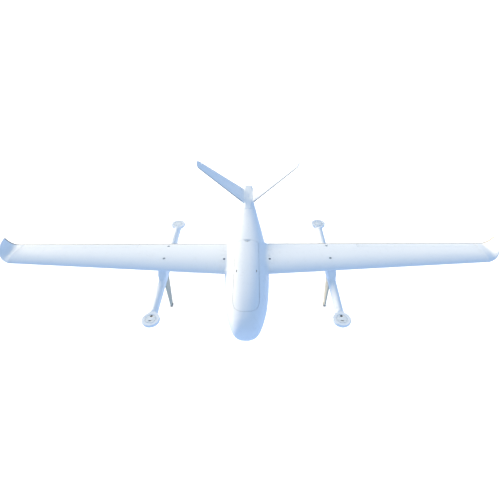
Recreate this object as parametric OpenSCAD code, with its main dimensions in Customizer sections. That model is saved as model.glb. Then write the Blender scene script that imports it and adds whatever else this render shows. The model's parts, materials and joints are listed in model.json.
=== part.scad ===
// Fixed wing VTOL survey drone airframe: teardrop fuselage, straight wing with
// curled tips, two under-wing booms with round motor pods, blade legs, V-tail.
// Millimetres. Nose towards -Y, +X is the aircraft's left, +Z up.
// Modules draw with y = 0 at the nose tip, running aft, and z = 0 on the wing's
// chord plane. place() moves that to the finished frame, whose origin is on the
// ground under the middle of the length.

/* [Stance] */
// Height of the wing chord plane above the ground
plane_height = 280; // [277:1:290]

/* [Fuselage] */
// Wall of the fuselage shells and the hatch
shell_wall = 1.6; // [1.2:0.1:2]
// Half width of the top hatch
hatch_half_width = 58; // [52:1:60]
// Front end of the top hatch, from the nose
hatch_front = 75; // [70:1:85]
// Rear end of the top hatch, from the nose
hatch_rear = 530; // [526:1:532]
// Gap around the hatch
hatch_gap = 0.5; // [0.3:0.1:0.8]

/* [Wing] */
// Leading edge at the wing root, from the nose
wing_le = 323.5; // [322:0.5:325]
// Trailing edge, from the nose
wing_te = 557; // [556:0.5:558]
// Sweep of the leading edge, mm aft per mm of span
wing_sweep = 0.0771; // [0.075:0.0005:0.08]
// Thickness of the wing section, share of the chord
foil_thick = 0.12; // [0.12:0.002:0.124]
// Camber of the wing section, share of the chord
foil_camber = 0.03; // [0.028:0.001:0.032]
// Skin of the wing halves
skin_wall = 1.2; // [1:0.05:1.25]
// Inner end of each aileron
ail_x0 = 560; // [555:1:570]
// Outer end of each aileron
ail_x1 = 1160; // [1150:1:1162]

/* [Booms] */
// Distance of each boom from the centre line
boom_x = 403; // [401:1:405]
// Outer radius of the boom at the wing
boom_r = 19; // [18.5:0.1:19.4]
// Centre of the front motor pods, from the nose
front_pod_y = 82; // [80:1:86]
// Centre of the rear motor pods, from the nose
rear_pod_y = 795; // [790:1:800]
// Radius of a motor pod
pod_r = 38; // [37.5:0.5:39]
// Bolt circle of a lift motor
lift_bolt_circle = 25; // [25:0.5:26]

/* [Tail] */
// Angle of each tail fin above the horizontal
fin_angle = 35.6; // [35.4:0.1:35.8]
// Length of a tail fin along its own span
fin_len = 337; // [332:1:342]
// Bolt circle of the pusher motor
pusher_bolt_circle = 30; // [29:0.5:31]

/* [Motion] */
// Length of the servo arms and control horns
arm_len = 14; // [13.5:0.1:14.5]

/* [Hidden] */
airframe_len = 1100;
nose_to_origin = airframe_len / 2;

// Wing: joint with the fuselage, start of the curled tip, aileron hinge
seam_x = 108;
tip_x = 1167.78;
hinge_y = wing_te - 38;
hinge_z = 3.1;
skin_x = [seam_x + 0.1, 420, 790, tip_x - 0.1];

// Spar tube and alignment pins that join the wing halves, and the sleeves round them
spar_y = 390;
spar_z = 5.6;
spar_r = 10;
spar_half_len = 334;
spar_sleeve_r = 11;
pin_y = 515;
pin_z = 3.6;
pin_r = 2.5;
pin_sleeve_r = 3;

// Button and spring that lock each wing half
lock_x = 110;
lock_y = 408;
lock_bore_r = 6.2;
spring_r = 3.1;
spring_wire_r = 0.28;
spring_pitch = 0.95;
spring_z = 1.72;

// Booms, pods and legs
pod_top_z = -35;
boom_z = -51;
boom_screw_y = [416, 528];
spigot_r = 16;
spigot_bore_r = 14.6;
spigot_start = 42; // from the pod centre
sleeve_end = 62; // from the pod centre
// y of the front and rear corners of the top, then of the foot; front leg, rear leg
legs = [[354, 434, 372, 409], [580, 652, 666, 702]];
foot_z = -274.2;

// Equipment
loom_y = 440;
loom_z = 5;
loom_above_boom = 7;
battery_tray_z = -114;
avionics_tray_z = -32;
part_gap = 0.1;
esc_len = 62;
magnet_x = 54;
magnet_y = [190, 460];
magnet_r = 3.5;

// Aileron servo shaft; rod lengths run from servo shaft to hinge line
ail_servo_x = 860;
ail_servo_z = 5.2;
ail_rod_len = 49;

// V-tail, in the fin's own frame: x along the span, z normal to the fin
fin_root_x = 24;
fin_root_z = 40;
fin_root_le = 891;
fin_tip_le = 978;
fin_root_te = 1059;
fin_tip_te = 1057;
fin_thick = 0.1;
fin_root_hinge = 1008.5;
fin_tip_hinge = 1034.5;
fin_sweep = atan2(fin_tip_hinge - fin_root_hinge, fin_len);
fin_rod_y = [930, 990];
rud_x0 = 26;
rud_x1 = 308;
rud_root_r = 4.7;
rud_tip_r = 2.5;
rud_servo_x = 74;
rud_rod_len = 46;

// Rear end of the fuselage and the pusher motor mount
tail_end = 1062;
pusher_z = 24;
pusher_r = 23.5;

// Fuselage stations: y, half width, top, bottom, height of the widest line
fuselage = [
    [0, 0.8, -59.2, -60.8, -60], [4, 23.5, -38, -81, -59.8], [16, 45, -17, -98, -59.4],
    [41, 61, 2, -114, -58.3], [67, 70.5, 13, -123, -57.2], [93, 78, 21, -130, -56],
    [148, 90, 32, -139, -54.5], [206, 97.5, 39, -145, -52.5], [268, 102.5, 44, -149, -50],
    [332, 105.5, 47, -150, -47.5], [400, 106.5, 48, -150, -45], [500, 100, 47, -142, -38],
    [560, 93.5, 46, -133, -34], [622, 85.5, 44, -118, -27.5], [698, 73.5, 41, -93, -15],
    [778, 59.5, 39, -62, -2], [864, 44.5, 41, -32, 12], [920, 35, 43, -14, 18.5],
    [962, 28.5, 45, -4, 21.5], [1010, 24, 47, 0.5, 23.5], [1062, 23.5, 47.5, 0.5, 24]
];
HALF_WIDTH = 1;
TOP = 2;
BOTTOM = 3;
WIDEST = 4;

// y of the sections the fuselage is lofted through, and of those under the hatch
hatch_sections = [54, 66, 80, 96, 112, 130, 150, 175, 200, 260, 330, 400, 470, 530, 600];
tail_sections = [864, 920, 970, 1015, tail_end - 0.1];
fuselage_sections = concat([0, 1.5, 5, 11, 20, 34], hatch_sections, [670, 740, 805], tail_sections);

$fn = 48;

// ---------- placing and basic shapes ----------
module place() { translate([0, -nose_to_origin, plane_height]) children(); }
module right() { mirror([1, 0, 0]) children(); }
module both() {
    children();
    right() children();
}

// cylinders along each axis: the two ends, the two cross coordinates, the radius
module along_x(x0, x1, y, z, r) {
    translate([x0, y, z]) rotate([0, 90, 0]) cylinder(h = x1 - x0, r = r);
}
module along_y(y0, y1, x, z, r) {
    translate([x, y0, z]) rotate([-90, 0, 0]) cylinder(h = y1 - y0, r = r);
}
module along_z(z0, z1, x, y, r) {
    translate([x, y, z0]) cylinder(h = z1 - z0, r = r);
}
module box(x0, x1, y0, y1, z0, z1) {
    translate([x0, y0, z0]) cube([x1 - x0, y1 - y0, z1 - z0]);
}
// a slab from x0 to x1 whose outline lies in the (y, z) plane
module slab_x(x0, x1) {
    translate([x0, 0, 0]) rotate([90, 0, 90]) linear_extrude(height = x1 - x0) children();
}

// ---------- lofting ----------
function reversed(list) = [for (i = [len(list) - 1:-1:0]) list[i]];
function sum(list) = list * [for (value = list) 1];
// a closed section: out along one path and back along its partner
function ring(path, partner) = concat(path, reversed(partner));
// a section symmetric about z = 0, from its upper path
function symmetric_ring(path) = ring(path, [for (p = path) [p[0], p[1], -p[2]]]);

// solid through rings of equal, even point count
module loft(rings) {
    size = len(rings[0]);
    last = (len(rings) - 1) * size;
    points = [for (section = rings) each section];
    sides = [
        for (first = [0:size:last - size], j = [0:size - 1])
            let (a = first + j, b = first + (j + 1) % size)
            each [[a, b, a + size], [b, b + size, a + size]]
    ];
    start_cap = [
        for (j = [0:size / 2 - 2])
            each [[j, size - 2 - j, j + 1], [j, size - 1 - j, size - 2 - j]]
    ];
    end_cap = [
        for (j = [0:size / 2 - 2])
            let (a = last + j, b = last + size - 1 - j)
            each [[a, a + 1, b - 1], [a, b - 1, b]]
    ];
    faces = concat(sides, start_cap, end_cap);
    // the sign of the enclosed volume tells which way the faces turn
    volume = sum([for (f = faces) points[f[0]] * cross(points[f[1]], points[f[2]])]);
    polyhedron(
        points = points,
        faces = volume < 0 ? faces : [for (f = faces) reversed(f)],
        convexity = 6
    );
}

// ---------- fuselage form ----------
function station_root(i) = sqrt(fuselage[i][0]);
function station_slope(i, column) =
    let (a = max(0, i - 1), b = min(len(fuselage) - 1, i + 1))
    (fuselage[b][column] - fuselage[a][column]) / (station_root(b) - station_root(a));
function station_before(y, i = 0) =
    (i >= len(fuselage) - 2 || y < fuselage[i + 1][0]) ? i : station_before(y, i + 1);
// cubic through a column of the table, drawn against the root of y so that the nose is round
function fus_at(y, column) =
    let (
        i = station_before(y),
        span = station_root(i + 1) - station_root(i),
        t = (sqrt(y) - station_root(i)) / span,
        t2 = t * t,
        t3 = t2 * t
    )
    (2 * t3 - 3 * t2 + 1) * fuselage[i][column]
    + (t3 - 2 * t2 + t) * span * station_slope(i, column)
    + (3 * t2 - 2 * t3) * fuselage[i + 1][column]
    + (t3 - t2) * span * station_slope(i + 1, column);

// exponent of the superellipse section, easing to a plain ellipse at the tail
function fus_power(y) = y < 600 ? 2.35 : max(2, 2.35 - 0.35 * (y - 600) / 350);
function fus_point(y, angle, inset, upper) =
    let (
        half = fus_at(y, HALF_WIDTH),
        mid = fus_at(y, WIDEST),
        rise = upper ? fus_at(y, TOP) - mid : mid - fus_at(y, BOTTOM),
        power = 2 / fus_power(y),
        inset_half = max(0.35 * half, half - inset),
        inset_rise = max(0.35 * rise, rise - inset),
        across = inset_half * sign(cos(angle)) * pow(abs(cos(angle)), power),
        away = inset_rise * pow(abs(sin(angle)), power) + 0.05
    )
    [across, y, mid + (upper ? 1 : -1) * away];
function fus_arc(y, inset, upper) =
    [for (i = [0:12]) fus_point(y, 180 * i / 12, inset, upper)];
// height of the upper surface at x
function fus_top(y, x, inset) =
    let (mid = fus_at(y, WIDEST), power = fus_power(y))
    mid + (fus_at(y, TOP) - mid - inset)
        * pow(1 - pow(abs(x) / (fus_at(y, HALF_WIDTH) - inset), power), 1 / power);

module fus_shell(sections, upper, outer, inner) {
    loft([for (y = sections) ring(fus_arc(y, outer, upper), fus_arc(y, inner, upper))]);
}
module fus_solid(sections, inset) {
    loft([for (y = sections) ring(fus_arc(y, inset, true), fus_arc(y, inset, false))]);
}

// half of the hatch outline in plan, from start_angle round by 180 degrees
function hatch_end(start_angle, mid_y, length, power, grow) = [
    for (i = [0:14])
        let (angle = start_angle + 180 * i / 14, c = cos(angle), q = sin(angle))
        [(hatch_half_width + grow) * sign(c) * pow(abs(c), power),
         mid_y + (length + grow) * sign(q) * pow(abs(q), power)]
];
module hatch_prism(grow) {
    front_len = 75;
    rear_len = 30;
    translate([0, 0, -60]) linear_extrude(height = 140) polygon(concat(
        hatch_end(180, hatch_front + front_len, front_len, 0.8, grow),
        hatch_end(0, hatch_rear - rear_len, rear_len, 0.7, grow)
    ));
}

// ---------- wing form: share is the part of the chord aft of the leading edge ----------
function le_at(x) = wing_le + wing_sweep * (x - seam_x);
function half_thick(share, thick) =
    5 * thick * (0.2969 * sqrt(share) - 0.126 * share - 0.3516 * share * share
                 + 0.2843 * pow(share, 3) - 0.1036 * pow(share, 4)) + 0.0035 * share;
function camber(share) =
    share < 0.4
        ? foil_camber / 0.16 * (0.8 * share - share * share)
        : foil_camber / 0.36 * (0.2 + 0.8 * share - share * share);
// chord shares from the trailing edge forward, closest together at both ends
function chord_share(i, steps) = (1 + cos(180 * i / steps)) / 2;
// height of the surface; side is 1 for the upper one, -1 for the lower
function foil_z(x, share, side, inset) =
    let (chord = wing_te - le_at(x))
    chord * camber(share) + side * max(0.08, chord * half_thick(share, foil_thick) - inset);
function wing_z(x, y, side, inset = 0) =
    foil_z(x, (y - le_at(x)) / (wing_te - le_at(x)), side, inset);
function wing_path(x, side, inset) =
    let (chord = wing_te - le_at(x), nose_z = side * (inset > 0 ? 0.12 : 0.06))
    [
        for (i = [0:14])
            let (share = chord_share(i, 14), inset_share = max(share, inset / chord))
            [x, le_at(x) + inset_share * chord,
             i == 14 ? nose_z + chord * camber(inset_share) : foil_z(x, share, side, inset)]
    ];
module wing_solid(x0, x1, inset) {
    loft([for (x = [x0, x1]) ring(wing_path(x, 1, inset), wing_path(x, -1, inset))]);
}
module wing_skin(side, stations) {
    loft([for (x = stations) ring(wing_path(x, side, 0), wing_path(x, side, skin_wall))]);
}

module aileron_bay() {
    x0 = ail_x0 - 1.5;
    x1 = ail_x1 + 1.5;
    box(x0, x1, hinge_y - 2.8, wing_te + 5, -30, 40);
    along_x(x0, x1, hinge_y, hinge_z, 5.4);
}
module aileron_servo_bay(inset, top_z) {
    box(ail_servo_x - 34 + inset, ail_servo_x + 12 - inset, 444 + inset, 492 - inset, -20, top_z);
}
module lock_bore() { along_z(0, 40, lock_x, lock_y, lock_bore_r); }
module boom_screw_bores(r, z0, z1) {
    for (y = boom_screw_y) along_z(z0, z1, boom_x, y, r);
}
module loom_bore(x0, x1) { along_x(x0, x1, loom_y, loom_z, 5); }

module wing_upper() {
    difference() {
        wing_skin(1, skin_x);
        aileron_bay();
        lock_bore();
        boom_screw_bores(7, -5, 45);
    }
}
module wing_lower() {
    difference() {
        wing_skin(-1, skin_x);
        aileron_bay();
        boom_screw_bores(2.7, -30, 10);
        aileron_servo_bay(0, 4);
        // slot for the aileron horn
        box(ail_servo_x + 0.9, ail_servo_x + 3.9, hinge_y - 8, hinge_y, -20, 1);
    }
}

// rib cut off behind rear_y; children are its other cuts
module wing_rib(x0, x1, rear_y) {
    difference() {
        wing_solid(x0, x1, skin_wall + 0.2);
        box(x0 - 1, x1 + 1, rear_y, wing_te + 5, -20, 20);
        children();
    }
}
module sleeve_rib(x0, x1) {
    wing_rib(x0, x1, wing_te - 16) {
        loom_bore(x0 - 1, x1 + 1);
        along_x(x0 - 1, x1 + 1, spar_y, spar_z, spar_sleeve_r + 0.05);
        along_x(x0 - 1, x1 + 1, pin_y, pin_z, pin_sleeve_r + 0.05);
        lock_bore();
    }
}
module boom_rib() {
    x0 = boom_x - 12;
    x1 = boom_x + 12;
    wing_rib(x0, x1, wing_te - 16) {
        loom_bore(x0 - 1, x1 + 1);
        boom_screw_bores(2.6, -30, 40);
        for (y = boom_screw_y)
            translate([boom_x, y, wing_z(boom_x, y, 1) - 3.4]) cylinder(h = 20, r = 7);
        spar_web(0.15);
    }
}
module aileron_rib(x0, has_loom) {
    x1 = x0 + 3;
    wing_rib(x0, x1, hinge_y + 6) {
        if (has_loom) loom_bore(x0 - 1, x1 + 1);
        along_x(x0 - 1, x1 + 1, hinge_y, hinge_z, 1.05);
        spar_web(0.15);
    }
}
module wing_ribs() {
    sleeve_rib(seam_x + 0.1, seam_x + 2.6);
    sleeve_rib(338, 341);
    boom_rib();
    aileron_rib(ail_x0 - 4.6, true);
    aileron_rib(ail_x1 + 1.6, false);
}

// flat web at 30 % of the chord, outboard of the spar sleeve
function web_ring(x, grow) =
    let (
        y = le_at(x) + 0.3 * (wing_te - le_at(x)),
        half = 1.6 + grow,
        top = wing_z(x, y, 1, skin_wall) - 0.5 + grow,
        bottom = wing_z(x, y, -1, skin_wall) + 0.5 - grow
    )
    [[x, y - half, top], [x, y + half, top], [x, y + half, bottom], [x, y - half, bottom]];
module spar_web(grow) { loft([web_ring(341.4 - grow, grow), web_ring(tip_x - 1.4, grow)]); }
module sleeve(x1, y, z, outer_r, inner_r) {
    difference() {
        along_x(seam_x + 0.2, x1, y, z, outer_r);
        along_x(seam_x, x1 + 1, y, z, inner_r);
    }
}
module wing_spar() {
    sleeve(spar_half_len + 2, spar_y, spar_z, spar_sleeve_r, spar_r + 0.1);
    sleeve(160, pin_y, pin_z, pin_sleeve_r, pin_r + 0.05);
    front_screw_y = boom_screw_y[0];
    difference() {
        spar_web(0);
        translate([boom_x, front_screw_y, wing_z(boom_x, front_screw_y, 1) - 3.6])
            cylinder(h = 20, r = 7.2);
    }
    // strip in front of the aileron
    box(ail_x0 - 1, ail_x1 + 1, hinge_y - 8.4, hinge_y - 6.4, hinge_z - 4.2, hinge_z + 4.4);
}

// curled tip: a short flat run, an arc in the (x, z) plane, then a straight run up
tip_flat = 24.2;
tip_bend_r = 56;
tip_bend = 62;
tip_bend_len = tip_bend_r * tip_bend * PI / 180;
tip_len = tip_flat + tip_bend_len + 17;
// x, z and lean angle at a distance along the curl
function tip_pos(distance) =
    let (
        curled = max(0, distance - tip_flat),
        angle = min(tip_bend, curled / tip_bend_r * 180 / PI),
        beyond = max(0, curled - tip_bend_len)
    )
    [tip_x + min(distance, tip_flat) + tip_bend_r * sin(angle) + beyond * cos(angle),
     tip_bend_r * (1 - cos(angle)) + beyond * sin(angle),
     angle];
// section at a part (0 to 1) of the tip's length
function tip_ring(part) =
    let (
        pos = tip_pos(part * tip_len),
        root_le = le_at(tip_x),
        root_chord = wing_te - root_le,
        rounding = pow(max(0, (part - 0.95) / 0.05), 2),
        le = root_le + 56 * pow(part, 1.12) + 64 * pow(part, 4) + 21 * rounding,
        chord = wing_te - 7 * rounding - le,
        thick = foil_thick * (1 - 0.35 * part),
        thinning = 1 - 0.75 * pow(part, 6),
        paths = [
            for (side = [1, -1]) [
                for (i = [0:12])
                    let (
                        share = chord_share(i, 12),
                        full = root_chord * half_thick(share, thick) * (1 - 0.55 * part),
                        half = i == 12 ? 0.06 : thinning * max(0.3, full)
                    )
                    [le + share * chord, chord * camber(share) * (1 - part) + side * half]
            ]
        ]
    )
    [
        for (p = ring(paths[0], paths[1]))
            [pos[0] - p[1] * sin(pos[2]), p[0], pos[1] + p[1] * cos(pos[2])]
    ];
module wing_tip() {
    parts = [0, 0.12, 0.24, 0.34, 0.44, 0.54, 0.64, 0.74, 0.83, 0.9, 0.95, 0.98, 1];
    loft([for (part = parts) tip_ring(part)]);
}

function aileron_path(x, side) = [
    for (y = [wing_te, wing_te - 13, wing_te - 26, hinge_y])
        [x, y, y == hinge_y ? hinge_z + side * 4.65 : wing_z(x, y, side)]
];
module aileron() {
    difference() {
        union() {
            loft([for (x = [ail_x0, 860, ail_x1]) ring(aileron_path(x, 1), aileron_path(x, -1))]);
            along_x(ail_x0, ail_x1, hinge_y, hinge_z, 4.7);
        }
        along_x(ail_x0 - 1, ail_x1 + 1, hinge_y, hinge_z, 1.08);
    }
    translate([ail_servo_x, hinge_y, hinge_z]) control_horn(-4.85, -4.85);
}

// ---------- servo and linkage, about the output shaft along +x ----------
module servo() {
    box(-26, -0.4, -22, 8, -5, 5);
    for (y = [-26.5, 8]) box(-19.5, -17.5, y, y + 4.5, -4, 4);
    along_x(-0.5, 4, 0, 0, 2.9);
}
module servo_arm() {
    difference() {
        union() {
            along_x(1.2, 3.8, 0, 0, 4.6);
            slab_x(1.2, 3.8) polygon([[-4, 0], [4, 0], [2.4, -arm_len], [-2.4, -arm_len]]);
            along_x(1.2, 3.8, 0, -arm_len, 2.4);
        }
        along_x(0, 5, 0, 0, 2.96);
        along_x(0, 5, 0, -arm_len, 1.0);
    }
}
// plate under the nose of a control surface, about its hinge, with the link hole
module control_horn(front_z, rear_z) {
    difference() {
        slab_x(1.4, 3.4) polygon([
            [-2.4, front_z], [9, rear_z], [2.6, -arm_len - 1],
            [0, -arm_len - 2.6], [-2.6, -arm_len - 1]
        ]);
        along_x(0, 5, 0, -arm_len, 1.15);
    }
}
// rod with a cross pin at each end; rise is the rear end's height over the front end's
module pushrod(length, rise = 0) {
    tilt = atan2(rise, length);
    rod_x = 5.4;
    translate([rod_x, 0, -arm_len]) rotate([tilt - 90, 0, 0]) translate([0, 0, -1])
        cylinder(h = length / cos(tilt) + 2, r = 1);
    along_x(0.6, rod_x, 0, -arm_len, 0.93);
    along_x(0.6, rod_x, length, -arm_len + rise, 0.93);
}
module arm_slot() { box(0.3, 7.2, -9, 9, -24, -2); }
module at_ail_servo() {
    translate([ail_servo_x, hinge_y - ail_rod_len, ail_servo_z]) children();
}
module ail_pushrod() { at_ail_servo() pushrod(ail_rod_len, hinge_z - ail_servo_z); }

// ---------- fin form ----------
module fin_frame() {
    translate([fin_root_x, 0, fin_root_z]) rotate([0, -fin_angle, 0]) children();
}
// x along the hinge line
module fin_hinge_frame() {
    fin_frame() translate([0, fin_root_hinge, 0]) rotate([0, 0, fin_sweep]) children();
}
module at_rud_servo() {
    fin_hinge_frame() translate([rud_servo_x, -rud_rod_len, 0]) children();
}
function fin_rounding(x) =
    x < fin_len - 22 ? 1 : sqrt(max(0.02, 1 - pow((x - fin_len + 22) / 22.6, 2)));
function fin_le(x) = fin_root_le + (fin_tip_le - fin_root_le) * x / fin_len;
function fin_te(x) = fin_root_te + (fin_tip_te - fin_root_te) * x / fin_len;
function fin_chord(x) = fin_te(x) - fin_le(x);
function fin_ring(x) =
    let (
        rounding = fin_rounding(x),
        mid = fin_le(x) + 0.62 * fin_chord(x),
        front = mid + (fin_le(x) - mid) * rounding,
        rear = mid + (fin_te(x) - mid) * (0.45 + 0.55 * rounding),
        thick = fin_chord(x) * (0.3 + 0.7 * rounding)
    )
    symmetric_ring([
        for (i = [0:12])
            let (share = chord_share(i, 12))
            [x, front + share * (rear - front),
             i == 12 ? 0.08 : thick * half_thick(share, fin_thick)]
    ]);
module fin_loft(stations) { loft([for (x = stations) fin_ring(x)]); }
module ruddervator_bay() {
    gap = 1.2;
    nose_gap = 0.7;
    fin_hinge_frame() {
        box(rud_x0 - gap, rud_x1 + gap, -2.8, 120, -25, 25);
        translate([rud_x0 - gap, 0, 0]) rotate([0, 90, 0])
            cylinder(h = rud_x1 - rud_x0 + 2 * gap, r1 = rud_root_r + nose_gap,
                     r2 = rud_tip_r + nose_gap);
    }
}
module fin_servo_pocket(grow) {
    fin_hinge_frame()
        box(rud_servo_x - 27.5 - grow, rud_servo_x + 9 + grow,
            -rud_rod_len - 28 - grow, -rud_rod_len + 14 + grow, -20, 5.3);
}
module fin_rods(r) { fin_frame() for (y = fin_rod_y) along_x(-16, 60, y, 0, r); }
module tail_fin() {
    difference() {
        fin_frame() fin_loft([4.2, 120, 240, fin_len - 22, fin_len - 13, fin_len - 6,
                              fin_len - 1.5, fin_len]);
        ruddervator_bay();
        fin_hinge_frame() along_x(rud_x0 - 9, rud_x1 + 9, 0, 0, 1.05);
        fin_servo_pocket(0);
        fin_rods(3.06);
        // slot for the ruddervator horn
        fin_hinge_frame() box(rud_servo_x + 0.9, rud_servo_x + 3.9, -8, 0, -20, -1.5);
    }
}
// section at x along the hinge line
function rud_ring(x) =
    let (
        span_x = x * cos(fin_sweep),
        nose_r = rud_root_r + (rud_tip_r - rud_root_r) * (x - rud_x0) / (rud_x1 - rud_x0),
        edge = fin_te(span_x) - fin_root_hinge - x * sin(fin_sweep)
    )
    symmetric_ring([
        [x, edge, fin_chord(span_x) * half_thick(1, fin_thick)],
        [x, edge * 0.62, nose_r * 0.45 + 0.1],
        [x, edge * 0.3, nose_r * 0.75 + 0.05],
        [x, 0, nose_r - 0.05]
    ]);
module ruddervator() {
    fin_hinge_frame() {
        difference() {
            union() {
                loft([for (x = [rud_x0, 167, rud_x1]) rud_ring(x)]);
                translate([rud_x0, 0, 0]) rotate([0, 90, 0])
                    cylinder(h = rud_x1 - rud_x0, r1 = rud_root_r, r2 = rud_tip_r);
            }
            along_x(rud_x0 - 1, rud_x1 + 1, 0, 0, 1.08);
        }
        translate([rud_servo_x, 0, 0]) control_horn(-4.75, -4.5);
    }
}

// ---------- fuselage nodes ----------
module fuselage_upper_shell() {
    color("white") place() difference() {
        union() {
            fus_shell(fuselage_sections, true, 0, shell_wall);
            both() wing_solid(74, seam_x - 0.1, 0);
        }
        hatch_prism(0);
        both() {
            along_x(60, 130, spar_y, spar_z, spar_r + 0.1);
            along_x(60, 130, pin_y, pin_z, pin_r + 0.1);
            loom_bore(60, 130);
            lock_bore();
            fin_rods(3.1);
        }
    }
}
module fuselage_lower_shell() {
    color("white") place() fus_shell(fuselage_sections, false, 0, shell_wall);
}
module former(y, hole_r, under_hatch) {
    thick = 3;
    half = hatch_half_width + 11;
    difference() {
        intersection() {
            box(-120, 120, y, y + thick, -160, 60);
            fus_solid(fuselage_sections, shell_wall + 0.25);
        }
        both() wing_solid(60, 120, -0.2);
        if (under_hatch) box(-half, half, y - 1, y + thick + 1, -30, 80);
        along_y(y - 1, y + thick + 1, 0, fus_at(y, WIDEST) - 6, hole_r);
    }
}
module fuselage_formers() {
    color("burlywood") place() {
        former(116, 34, true);
        former(318, 34, true);
        former(556, 50, false);
        former(760, 36, false);
    }
}
module top_hatch() {
    color("white") place() difference() {
        intersection() {
            fus_shell(hatch_sections, true, 0, shell_wall);
            hatch_prism(-hatch_gap);
        }
        // round notch in the rear edge, and a slot near each side
        along_z(0, 80, 0, hatch_rear + 3, 15);
        both() box(44.6, 47.4, 293, 307, 20, 60);
    }
}
module hatch_frame() {
    color("gainsboro") place() difference() {
        intersection() {
            fus_shell(hatch_sections, true, shell_wall + 0.25, shell_wall + 1.9);
            hatch_prism(10);
        }
        hatch_prism(-9);
        both() for (y = magnet_y) along_z(-20, 50, magnet_x, y, magnet_r + 0.2);
    }
}
module hatch_magnets() {
    color("silver") place() both() for (y = magnet_y)
        translate([magnet_x, y, fus_top(y, magnet_x + magnet_r, shell_wall) - 5.4])
            cylinder(h = 4.4, r = magnet_r);
}

// ---------- equipment nodes ----------
battery_z = battery_tray_z + part_gap;
avionics_z = avionics_tray_z + part_gap;
module equipment_trays() {
    color("burlywood") place() {
        intersection() {
            box(-62, 62, 122, 316, battery_tray_z - 3, battery_tray_z);
            fus_solid(fuselage_sections, shell_wall + 0.3);
        }
        box(-48, 48, 345, 520, avionics_tray_z - 2, avionics_tray_z);
    }
}
module battery() { color("dimgray") place() box(-38, 38, 128, 308, battery_z, -50); }
module battery_straps() {
    color("black") place() for (y = [165, 250]) difference() {
        box(-40.2, 40.2, y, y + 22, battery_z, -47.8);
        box(-38.1, 38.1, y - 1, y + 23, -115, -49.9);
    }
}
module autopilot() { color("black") place() box(-22, 22, 420, 476, avionics_z, -13); }
module gps_module() { color("dimgray") place() along_z(avionics_z, avionics_z + 12, 0, 500, 17); }
module power_module() { color("dimgray") place() box(-15, 15, 352, 372, avionics_z, -14); }
module radio_receiver() { color("black") place() box(28, 44, 425, 465, avionics_z, -18); }
module speed_controllers() {
    color("darkslategray") place() {
        both() for (y = [166, 646])
            box(boom_x - 12, boom_x + 12, y, y + esc_len, boom_z - 10.5, boom_z + 0.5);
        box(-12, 12, 590, 590 + esc_len, -60, -49);
    }
}
module wiring_loom() {
    lead_z = -54;
    color("black") place() {
        both() along_y(front_pod_y + 17, rear_pod_y - 17, boom_x, boom_z + loom_above_boom, 3);
        both() along_x(70, 824, loom_y, loom_z, 3);
        along_y(330, 588, 0, lead_z, 3.5);
        // lead climbing aft through the tail
        translate([0, 654, lead_z]) rotate([-90 + atan2(78, 400), 0, 0]) cylinder(h = 400, r = 3);
    }
}

// ---------- wing nodes ----------
module wing_spar_tube() {
    color("black") place() difference() {
        along_x(-spar_half_len, spar_half_len, spar_y, spar_z, spar_r);
        along_x(-spar_half_len - 1, spar_half_len + 1, spar_y, spar_z, 8.5);
    }
}
module wing_alignment_pins() { color("black") place() both() along_x(78, 150, pin_y, pin_z, pin_r); }
module left_wing_upper_skin() { color("white") place() wing_upper(); }
module right_wing_upper_skin() { color("white") place() right() wing_upper(); }
module left_wing_lower_skin() { color("white") place() wing_lower(); }
module right_wing_lower_skin() { color("white") place() right() wing_lower(); }
module left_wing_ribs() { color("burlywood") place() wing_ribs(); }
module right_wing_ribs() { color("burlywood") place() right() wing_ribs(); }
module left_wing_spar() { color("black") place() wing_spar(); }
module right_wing_spar() { color("black") place() right() wing_spar(); }
module left_wing_tip() { color("white") place() wing_tip(); }
module right_wing_tip() { color("white") place() right() wing_tip(); }
module left_aileron() { color("white") place() aileron(); }
module right_aileron() { color("white") place() right() aileron(); }
module control_hinge_rods() {
    color("silver") place() both() {
        along_x(ail_x0 - 4.4, ail_x1 + 4.4, hinge_y, hinge_z, 1);
        fin_hinge_frame() along_x(rud_x0 - 8, rud_x1 + 8, 0, 0, 1);
    }
}
module control_servos() {
    color("black") place() both() {
        at_ail_servo() servo();
        at_rud_servo() servo();
    }
}
module servo_covers() {
    color("white") place() both() {
        difference() {
            intersection() {
                wing_skin(-1, [ail_servo_x - 40, ail_servo_x + 20]);
                aileron_servo_bay(0.3, 3.9);
            }
            at_ail_servo() arm_slot();
        }
        difference() {
            intersection() {
                fin_frame() fin_loft([10, 120]);
                fin_servo_pocket(-0.3);
            }
            fin_hinge_frame() box(0, 140, -120, 10, -5.6, 10);
            at_rud_servo() arm_slot();
        }
    }
}
module left_aileron_servo_arm() { color("silver") place() at_ail_servo() servo_arm(); }
module right_aileron_servo_arm() { color("silver") place() right() at_ail_servo() servo_arm(); }
module left_aileron_pushrod() { color("silver") place() ail_pushrod(); }
module right_aileron_pushrod() { color("silver") place() right() ail_pushrod(); }

lock_top_z = wing_z(lock_x, lock_y, 1);
module lock_button() {
    along_z(8, lock_top_z + 0.6, lock_x, lock_y, 3.9);
    along_z(5, 8.2, lock_x, lock_y, 2);
}
module left_wing_lock_button() { color("dimgray") place() lock_button(); }
module right_wing_lock_button() { color("dimgray") place() right() lock_button(); }
module wing_lock_housings() {
    color("silver") place() both() difference() {
        along_z(0.2, lock_top_z, lock_x, lock_y, 6.05);
        along_z(1.4, 41.4, lock_x, lock_y, 3.97);
    }
}
// six-sided section of the spring wire at an angle along the coil
function coil_ring(angle) = [
    for (i = [0:5])
        let (distance = spring_r + spring_wire_r * cos(60 * i))
        [distance * cos(angle), distance * sin(angle),
         spring_z + spring_pitch * angle / 360 + spring_wire_r * sin(60 * i)]
];
// drawn at the height the springs have with the button pressed
module wing_lock_springs() {
    color("silver") place() both() translate([lock_x, lock_y, 0])
        loft([for (angle = [0:24:1080]) coil_ring(angle)]);
}

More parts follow.
